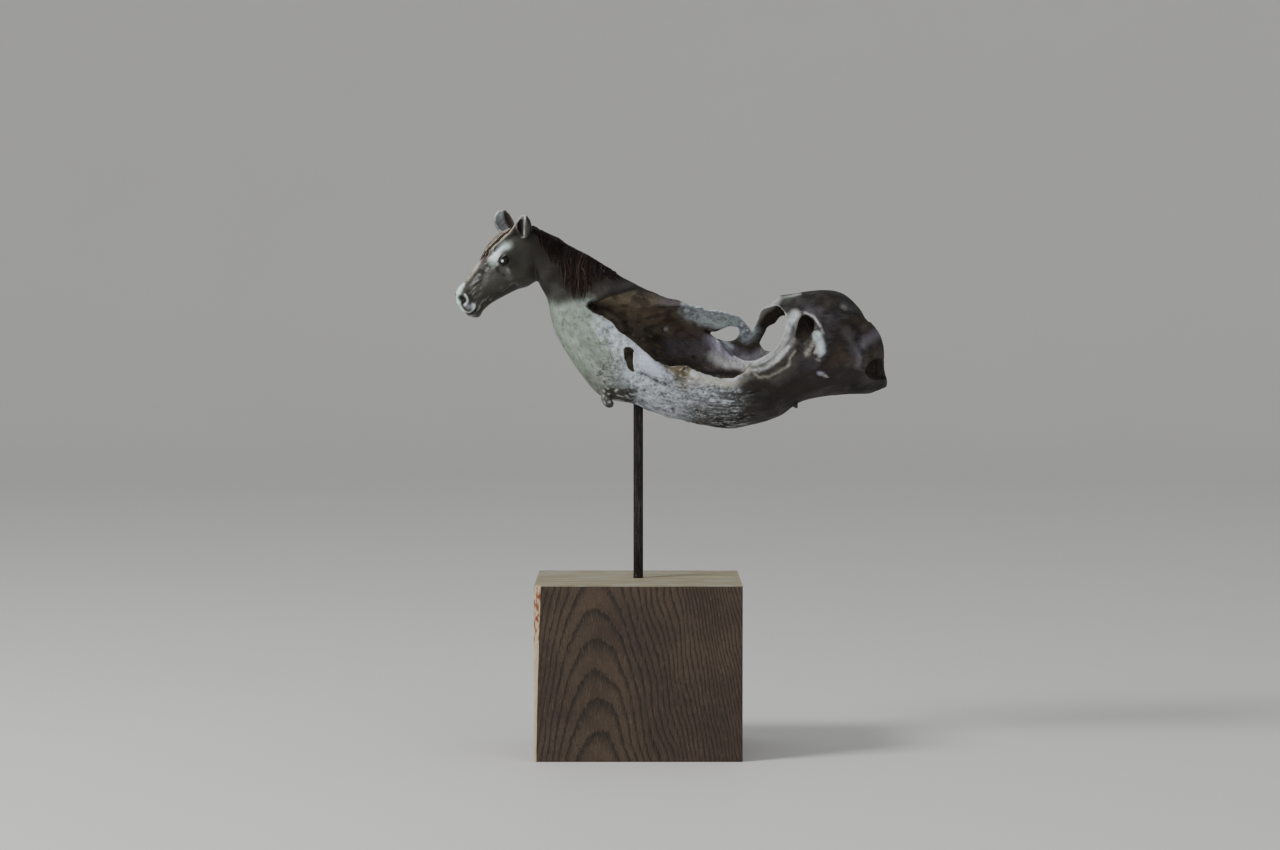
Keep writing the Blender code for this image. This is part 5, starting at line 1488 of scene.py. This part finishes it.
def driftwood_finish():
    """The painted colour with grain, specks and, where the wood is crumbled, pits and bleached crumbs."""
    finish = Finish("weathered_driftwood", Roughness=0.75, Specular_IOR_Level=0.25)
    places = finish.places()
    colour = finish.attribute("paint", "Color")
    rough = finish.attribute("crumbled")
    painted_head = finish.attribute("smooth_paint")
    grain = finish.noise(finish.places((0.2, 1, 1)), 1.1, 5)
    speckle = finish.noise(places, 1.4, 5, 0.6)
    crumbs = finish.noise(finish.places((0.7, 1, 1)), 0.75, 6, 0.66)
    blotch = finish.noise(places, 0.2, 3)
    clump = finish.noise(finish.places((0.7, 1, 1)), 0.22, 3)
    plain = 1 - painted_head
    shade = 0.62 + 0.44 * grain + 0.6 * (speckle - 0.5) * (0.4 + 0.6 * plain) + 0.6 * (blotch - 0.5) * plain
    shade = shade * 1.22
    tone = finish.node("ShaderNodeCombineColor", {}, {0: shade, 1: shade, 2: shade})
    colour = finish.mix(1.0, colour, tone, "MULTIPLY")
    pits = (1 - (crumbs + 0.35 * (clump - 0.5)).between(0.32, 0.6)) * rough
    bleached = crumbs.between(0.54, 0.66) * rough
    colour = finish.mix(bleached * 0.4, colour, tuple(linear((224, 229, 230))))
    pitted = finish.mix(1.0, colour, (0.17, 0.17, 0.155), "MULTIPLY")
    colour = finish.mix(pits * 0.52, colour, pitted)
    finish.put(finish.shader.inputs["Base Color"], colour)
    finish.put(finish.shader.inputs["Roughness"], 0.76 - 0.3 * painted_head + 0.15 * (speckle - 0.5))
    height = grain * 0.6 + speckle * (0.35 + 0.5 * rough) + crumbs * rough * 1.2
    finish.bump(height * (1 - 0.7 * painted_head), 0.5 * MM, 0.7)
    return finish.material


def steel_finish():
    """Dark steel with long wear streaks and a few bright specks."""
    finish = Finish("dark_steel", Metallic=1.0)
    places = finish.places()
    streaks = finish.noise(finish.places((1, 1, 0.08)), 1.4, 4)
    specks = finish.noise(places, 1.6, 2).between(0.64, 0.7)
    dark = tuple(linear((48, 46, 46)))
    pale = tuple(linear((128, 124, 118)))
    colour = finish.mix(streaks.between(0.45, 0.75) * 0.35, dark, pale)
    colour = finish.mix(specks * 0.7, colour, pale)
    finish.put(finish.shader.inputs["Base Color"], colour)
    finish.put(finish.shader.inputs["Roughness"], 0.38 + 0.25 * streaks)
    finish.bump(streaks * 0.4 + specks, 0.08 * MM, 0.5)
    return finish.material


def oak_finish():
    """Growth rings round a leaning line behind the front, so that the front shows pointed arches."""
    finish = Finish("oak")
    places = finish.places()
    parts = finish.node("ShaderNodeSeparateXYZ", {}, {0: places}, 0)
    tree = parts.socket.node
    x, y, z = (Wire(finish, tree.outputs[axis]) for axis in range(3))
    drift = finish.noise(finish.places((1, 1, 0.5)), 0.04, 2)
    saw = finish.noise(finish.places((1, 1, 0.14)), 1.9, 4)
    teeth = finish.noise(finish.places((1, 1, 0.3)), 1.1, 3)
    across = x + 22 + 9 * (drift - 0.5)
    across = (across - 0.16 * across.maths("MAXIMUM", across, 0.0)) * (1 + 0.0016 * z)
    deep = y + 71 + 0.13 * z
    radius = (across * across + deep * deep) ** 0.5
    ring = radius * (0.27 + 0.0032 * radius) + 0.45 * (teeth - 0.5) + 0.9 * (drift - 0.5)
    share = ring.maths("FRACT", ring)
    late = share.between(0.45, 0.9) * (1 - share.between(0.93, 1.0))
    pores = finish.noise(finish.places((1, 1, 0.16)), 3.2, 3).between(0.52, 0.68)
    blotch = finish.noise(places, 0.03, 3)
    pale = tuple(linear((82, 67, 53)))
    middle = tuple(linear((66, 52, 41)))
    dark = tuple(linear((29, 20, 13)))
    colour = finish.mix(blotch.between(0.35, 0.65), pale, middle)
    colour = finish.mix(late * 0.8, colour, dark)
    colour = finish.mix(pores * 0.4, colour, dark)
    colour = finish.mix(saw.between(0.5, 0.72) * 0.4, colour, tuple(linear((110, 93, 76))))
    planed = finish.noise(finish.places((0.05, 1, 1)), 0.5, 4)
    stained = finish.noise(places, 0.05, 3)
    # Painted light: the top is painted far paler than the sides, as the light from above shows it.
    lit_top_colour = finish.mix(planed.between(0.35, 0.7), tuple(linear((148, 138, 112))), tuple(linear((188, 178, 150))))
    lit_top_colour = finish.mix(stained.between(0.5, 0.65) * 0.5, lit_top_colour, tuple(linear((176, 180, 172))))
    colour = finish.mix(z.between(88.2, 88.8), colour, lit_top_colour)
    # The torn arris is painted pale straw: the raw wood of the break, and painted light where it faces the light from
    # the left.
    size = 1.1 + 2.4 * (z / 89) ** 1.4
    torn = (1 - (x + 52.5 - size).between(0.0, 0.35)) * (1 - (y + 45 - size).between(0.0, 0.35))
    splinter = finish.noise(finish.places((1, 1, 0.35)), 0.8, 4)
    raw = finish.mix(
        splinter.between(0.44, 0.6) * z.between(58, 64),
        tuple(linear((206, 186, 156))), tuple(linear((138, 76, 42))),
    )
    colour = finish.mix(torn, colour, raw)
    finish.put(finish.shader.inputs["Base Color"], colour)
    finish.put(finish.shader.inputs["Roughness"], 0.74 + 0.15 * (saw - 0.5))
    finish.bump(saw * 0.8 - pores * 0.7 - late * 0.5, 0.4 * MM, 0.8)
    return finish.material


def hair_finish():
    """Dark red-brown hair, lighter towards the tips."""
    finish = Finish("mane_hair", Roughness=0.6, Specular_IOR_Level=0.15)
    tone = finish.attribute("strand_tone")
    tip = finish.attribute("toward_tip")
    flecks = finish.noise(finish.places(), 0.8, 3)
    colour = finish.node(
        "ShaderNodeValToRGB",
        {"stops": [
            (0.0, tuple(linear((10, 7, 6)))), (0.5, tuple(linear((26, 17, 13)))),
            (0.8, tuple(linear((50, 33, 26)))), (1.0, tuple(linear((92, 74, 60)))),
        ]},
        {0: tone + 0.25 * (flecks - 0.5) + 0.3 * tip * tip},
        "Color",
    )
    finish.put(finish.shader.inputs["Base Color"], colour)
    finish.put(finish.shader.inputs["Roughness"], 0.5 + 0.3 * flecks)
    return finish.material


def forelock_finish():
    """Cream hair with brown and dark strands between."""
    finish = Finish("forelock_hair", Roughness=0.6, Specular_IOR_Level=0.25)
    tone = finish.attribute("strand_tone")
    flecks = finish.noise(finish.places(), 0.9, 3)
    colour = finish.node(
        "ShaderNodeValToRGB",
        {"stops": [
            (0.0, tuple(linear((26, 18, 16)))), (0.3, tuple(linear((84, 64, 54)))),
            (0.5, tuple(linear((172, 160, 138)))), (1.0, tuple(linear((246, 242, 232)))),
        ]},
        {0: tone + 0.3 * (flecks - 0.5)},
        "Color",
    )
    finish.put(finish.shader.inputs["Base Color"], colour)
    return finish.material


def eye_finish():
    """Near-black, with a painted highlight on each eye: a pale spot where the key light's glint falls."""
    finish = Finish("polished_eye", Roughness=0.12, Specular_IOR_Level=0.3)
    places = finish.places()
    cloud = finish.noise(places, 0.9, 2)
    colour = finish.mix(cloud, (0.004, 0.0035, 0.003), (0.012, 0.009, 0.007))
    for side in (-1, 1):
        # Painted highlight: the pale spot on each eye stands in for the glint of the light from the upper left.
        light = np.array(EYE) + EYE_RADIUS * np.array([0.56, 0.75, 0.36])
        light = tuple(to_world(from_head(light * (1, side, 1))) / MM)
        gap = finish.node("ShaderNodeVectorMath", {"operation": "DISTANCE"}, {0: places, 1: light}, 1)
        colour = finish.mix(1 - gap.between(0.45, 0.95), colour, tuple(linear((232, 238, 240))))
    finish.put(finish.shader.inputs["Base Color"], colour)
    return finish.material


def floor_finish():
    """Plain pale floor."""
    finish = Finish("pale_floor", Roughness=0.6)
    cloud = finish.noise(finish.places(), 0.004, 3)
    finish.put(finish.shader.inputs["Base Color"], finish.mix(cloud, (0.78, 0.77, 0.75), (0.82, 0.81, 0.79)))
    return finish.material


# Pieces


def dressed(piece, name, finish, replaces=None):
    """The finished piece, named, with its finish, riding with the part."""
    piece.name = name
    piece.data.name = name
    piece.data.materials.clear()
    piece.data.materials.append(finish)
    piece.data.polygons.foreach_set("use_smooth", np.ones(len(piece.data.polygons), bool))
    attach(piece, "root")
    if replaces:
        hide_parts(replaces)


def hair_mesh(name, strands):
    """One mesh of many thin tapered strands. A strand is its path, radii, tone and what it lies across."""
    points, faces, tones, tips = [], [], [], []
    steps = 4
    for path, radii, tone, across in strands:
        rings = tube_rings(path, radii, 0.8, across, steps)
        base = len(points)
        count = len(rings)
        points.extend(rings.reshape(-1, 3))
        tones.extend([tone] * count * steps)
        tips.extend(np.repeat(np.linspace(0, 1, count), steps))
        faces.append([base + step for step in range(steps)][::-1])
        faces.append([base + (count - 1) * steps + step for step in range(steps)])
        for ring in range(count - 1):
            for step in range(steps):
                after = (step + 1) % steps
                low = base + ring * steps
                faces.append([low + step, low + after, low + steps + after, low + steps + step])
    piece = new_mesh(name, to_world(np.array(points)), faces)
    add_number(piece.data, "strand_tone", tones)
    add_number(piece.data, "toward_tip", tips)
    return piece


def figure_tree():
    """A tree of the finished figure's surface, for what lies on it."""
    figure = bpy.data.objects.get("carved_horse")
    if figure is None:
        raise RuntimeError("the horse is carved before its hair and eyes")
    return nearest_skin(figure)


class HorseSizes(bpy.types.PropertyGroup):
    grain: bpy.props.FloatProperty(
        name="Carving grain", description="Size of the finest form carved in the figure",
        default=0.00046, min=0.0003, max=0.002, unit="LENGTH",
    )
    triangles: bpy.props.IntProperty(
        name="Triangles", description="How many triangles the figure keeps", default=194000, min=20000, max=198000,
    )
    wear: bpy.props.FloatProperty(
        name="Wear", description="How deep pits and crumbled edges go", default=1.0, min=0.0, max=1.5,
    )
    strands: bpy.props.IntProperty(
        name="Mane strands", description="How many single strands the mane has", default=420, min=20, max=800,
    )
    forelock: bpy.props.IntProperty(
        name="Forelock strands", description="How many single strands the forelock has",
        default=84, min=5, max=160,
    )


class StageSizes(bpy.types.PropertyGroup):
    key: bpy.props.FloatProperty(
        name="Main light", description="Power of the soft light from the left", default=25.0, min=0, unit="POWER",
    )
    fill: bpy.props.FloatProperty(
        name="Fill light", description="Power of the light from the front right", default=3.0, min=0, unit="POWER",
    )
    room: bpy.props.FloatProperty(
        name="Room light", description="Brightness of the room all round", default=0.42, min=0,
    )


class HORSE_OT_carve(bpy.types.Operator):
    """Carve the horse's head and neck and the hollow driftwood body as one piece"""

    bl_idname = "horse.carve"
    bl_label = "Carve the horse"

    def execute(self, context):
        sizes = context.scene.horse_sizes
        skin = body_skin()
        skin_tree = nearest_skin(skin)
        locks = mane_locks(skin_tree, MANE_LOCKS, LOCK_RADIUS)
        bpy.data.objects.remove(skin)
        head = skull()
        front = forelock_locks(nearest_skin(head))
        pieces = [driftwood(), saddle(), head, *stubs()]
        whole = blended(grown_together("carved_horse", pieces, sizes.grain, 4), JOINT_SMOOTHINGS)
        features = [ear(-1), ear(1), *lids(-1), *lids(1), *muzzle_folds(-1), *muzzle_folds(1), *locks, *front]
        whole = grown_together("carved_horse", [whole, *features], sizes.grain, 1)
        spots = Spots(whole.data, skin_tree)
        push = worn_relief(spots) * sizes.wear * MM
        whole.data.vertices.foreach_set("co", (points_of(whole.data) + spots.out * push[:, None]).ravel())
        whole.data.update()
        whole = thinned(whole, sizes.triangles)
        mesh = whole.data
        spots = Spots(mesh, skin_tree)
        relief = hollowness(mesh, 12)
        add_colour(mesh, "paint", painted(spots, relief))
        add_number(mesh, "crumbled", roughness_of(spots))
        add_number(mesh, "smooth_paint", spots.on_head)
        dressed(whole, "carved_horse", driftwood_finish(), "driftwood_horse")
        return {"FINISHED"}


class HORSE_OT_hair(bpy.types.Operator):
    """Lay single strands of hair over the mane and the forelock"""

    bl_idname = "horse.hair"
    bl_label = "Lay the hair"

    def execute(self, context):
        sizes = context.scene.horse_sizes
        tree = figure_tree()
        pick = np.random.default_rng(4)
        roots = along(MANE_ROOTS, sizes.strands)
        tips = along(MANE_TIPS, sizes.strands)
        strands = []
        for number in range(sizes.strands):
            root = roots[number] + pick.normal(0, 0.5, 3) * (1, 0.6, 0.4)
            tip = tips[number] + pick.normal(0, 1.0, 3) * (1.2, 0.3, 1.2)
            tuft = 1.4 * math.sin(number * 0.10) + 0.8 * math.sin(number * 0.25)
            reach = 0.9 + 0.1 * math.sin(number * 0.15) + pick.normal(0, 0.05)
            end = root + (tip - root) * reach + np.array([tuft * 0.5, 0, 0])
            middle = root + (end - root) * 0.5 + np.array([pick.normal(-0.8, 0.8), -3.5, 1.0])
            path = laid_on(tree, spline([root, middle, end], 11), -0.08)
            radii = pick.uniform(0.14, 0.28) * np.sin(np.linspace(0.55, math.pi * 0.97, 11)) ** 0.6
            tone = 0.32 + 0.25 * math.sin(number * 0.7) + pick.normal(0, 0.12)
            tone = 0.95 if pick.random() < 0.03 else np.clip(tone, 0, 0.8)
            strands.append((path, radii, tone, (0, 1, 0)))
        mane = hair_mesh("mane_hair", strands)
        dressed(mane, "mane_hair", hair_finish())

        strands = []
        for number in range(sizes.forelock):
            lock = number % 7
            share = lock / 3.0 - 1 + pick.normal(0, 0.06)
            long = 1 - 0.35 * abs(share) + pick.normal(0, 0.06)
            knots = [
                (-1.5, 3.8 * share - 1.6, 16.6),
                (4.5, 4.8 * share - 2.1, 18.0),
                (4.5 + 9 * long, 4.8 * share - 2.3, 17.2),
                (5.5 + 18.5 * long, 3.6 * share - 1.2 + pick.normal(0, 0.8), 14.6),
            ]
            path = laid_on(tree, from_head(spline(knots, 11)), -0.25)
            radii = pick.uniform(0.16, 0.32) * np.sin(np.linspace(0.6, math.pi * 0.97, 11)) ** 0.6
            tone = 0.1 if pick.random() < 0.38 else 0.56 + 0.22 * math.sin(lock * 2.4)
            strands.append((path, radii, tone, (0, 0, 1)))
        forelock = hair_mesh("forelock_hair", strands)
        dressed(forelock, "forelock_hair", forelock_finish())
        return {"FINISHED"}


class HORSE_OT_eyes(bpy.types.Operator):
    """Set the two polished eyes"""

    bl_idname = "horse.eyes"
    bl_label = "Set the eyes"

    def execute(self, context):
        finish = eye_finish()
        for name, side in (("eye_near", -1), ("eye_far", 1)):
            middle = from_head((EYE[0], EYE[1] * side, EYE[2]))
            piece = ball(name, middle, (EYE_RADIUS,) * 3, 36)
            dressed(piece, name, finish)
        return {"FINISHED"}


class HORSE_OT_stand(bpy.types.Operator):
    """Give the rod and the block their finishes"""

    bl_idname = "horse.stand"
    bl_label = "Finish the stand"

    def execute(self, context):
        for node, finish in (("support_rod", steel_finish()), ("oak_block", oak_finish())):
            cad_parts[node].material_slots[0].material = finish
        return {"FINISHED"}


FLOOR_RADIUS = 2.6
FLOOR_BEND = 0.9
FLOOR_WALL = 1.2
BEND_STEPS = 8
CAMERA_PLACE = (0.0009, -1.681, 0.235)
CAMERA_SLOPE = 0.04
CAMERA_LENS = 92.0


class HORSE_OT_stage(bpy.types.Operator):
    """Set the pale floor, the soft lights and the camera"""

    bl_idname = "horse.stage"
    bl_label = "Set the stage"

    def execute(self, context):
        sizes = context.scene.horse_stage
        bpy.ops.object.select_all(action="DESELECT")
        bpy.ops.mesh.primitive_circle_add(vertices=96, radius=FLOOR_RADIUS, fill_type="NGON", location=(0, 0, 0))
        floor = context.object
        floor.name = "floor"
        bpy.ops.object.mode_set(mode="EDIT")
        bpy.ops.mesh.select_all(action="SELECT")
        bpy.ops.mesh.select_mode(type="EDGE")
        bpy.ops.mesh.region_to_loop()
        for step in range(1, BEND_STEPS + 1):
            angle = math.pi / 2 * step / BEND_STEPS
            before = math.pi / 2 * (step - 1) / BEND_STEPS
            radius = FLOOR_RADIUS + FLOOR_BEND * math.sin(angle)
            last = FLOOR_RADIUS + FLOOR_BEND * math.sin(before)
            rise = FLOOR_BEND * (math.cos(before) - math.cos(angle))
            bpy.ops.mesh.extrude_edges_move(TRANSFORM_OT_translate={"value": (0, 0, rise)})
            bpy.ops.transform.resize(value=(radius / last, radius / last, 1), center_override=(0, 0, 0))
        bpy.ops.mesh.extrude_edges_move(TRANSFORM_OT_translate={"value": (0, 0, FLOOR_WALL)})
        bpy.ops.object.mode_set(mode="OBJECT")
        bpy.ops.object.shade_smooth()
        floor.data.materials.append(floor_finish())

        world = bpy.data.worlds.new("soft_room")
        world.use_nodes = True
        back = world.node_tree.nodes["Background"]
        back.inputs["Color"].default_value = (0.96, 0.98, 1.0, 1)
        back.inputs["Strength"].default_value = sizes.room
        context.scene.world = world

        aim = Vector((0, 0, 0.15))
        for name, place, power, size in (
            ("key_light", (-1.25, -0.75, 1.25), sizes.key, 0.55),
            ("fill_light", (1.0, -1.3, 0.9), sizes.fill, 1.0),
        ):
            lamp = bpy.data.lights.new(name, "AREA")
            lamp.energy = power
            lamp.size = size
            light = bpy.data.objects.new(name, lamp)
            light.location = place
            light.rotation_euler = (aim - Vector(place)).to_track_quat("-Z", "Y").to_euler()
            context.scene.collection.objects.link(light)

        view = bpy.data.cameras.new("photo_view")
        view.sensor_width = 36
        view.lens = CAMERA_LENS
        camera = bpy.data.objects.new("photo_view", view)
        camera.location = CAMERA_PLACE
        camera.rotation_euler = (math.pi / 2 - math.atan(CAMERA_SLOPE), 0, 0)
        context.scene.collection.objects.link(camera)
        context.scene.camera = camera
        return {"FINISHED"}


STEPS = (HORSE_OT_carve, HORSE_OT_hair, HORSE_OT_eyes, HORSE_OT_stand, HORSE_OT_stage)


class HORSE_PT_panel(bpy.types.Panel):
    """The horse's sizes and the steps that make it"""

    bl_idname = "HORSE_PT_panel"
    bl_label = "Driftwood horse"
    bl_space_type = "VIEW_3D"
    bl_region_type = "UI"
    bl_category = "Driftwood horse"

    def draw(self, context):
        for group in (context.scene.horse_sizes, context.scene.horse_stage):
            box = self.layout.box()
            for name in group.bl_rna.properties.keys():
                if name not in ("rna_type", "name"):
                    box.prop(group, name)
        for step in STEPS:
            self.layout.operator(step.bl_idname)


CLASSES = (HorseSizes, StageSizes, *STEPS, HORSE_PT_panel)


def register():
    for one in CLASSES:
        bpy.utils.register_class(one)
    bpy.types.Scene.horse_sizes = bpy.props.PointerProperty(type=HorseSizes)
    bpy.types.Scene.horse_stage = bpy.props.PointerProperty(type=StageSizes)


def unregister():
    del bpy.types.Scene.horse_stage
    del bpy.types.Scene.horse_sizes
    for one in reversed(CLASSES):
        bpy.utils.unregister_class(one)


def main():
    register()
    bpy.ops.object.select_all(action="DESELECT")
    bpy.ops.horse.carve()
    bpy.ops.horse.hair()
    bpy.ops.horse.eyes()
    bpy.ops.horse.stand()
    bpy.ops.horse.stage()


if __name__ == "__main__":
    main()
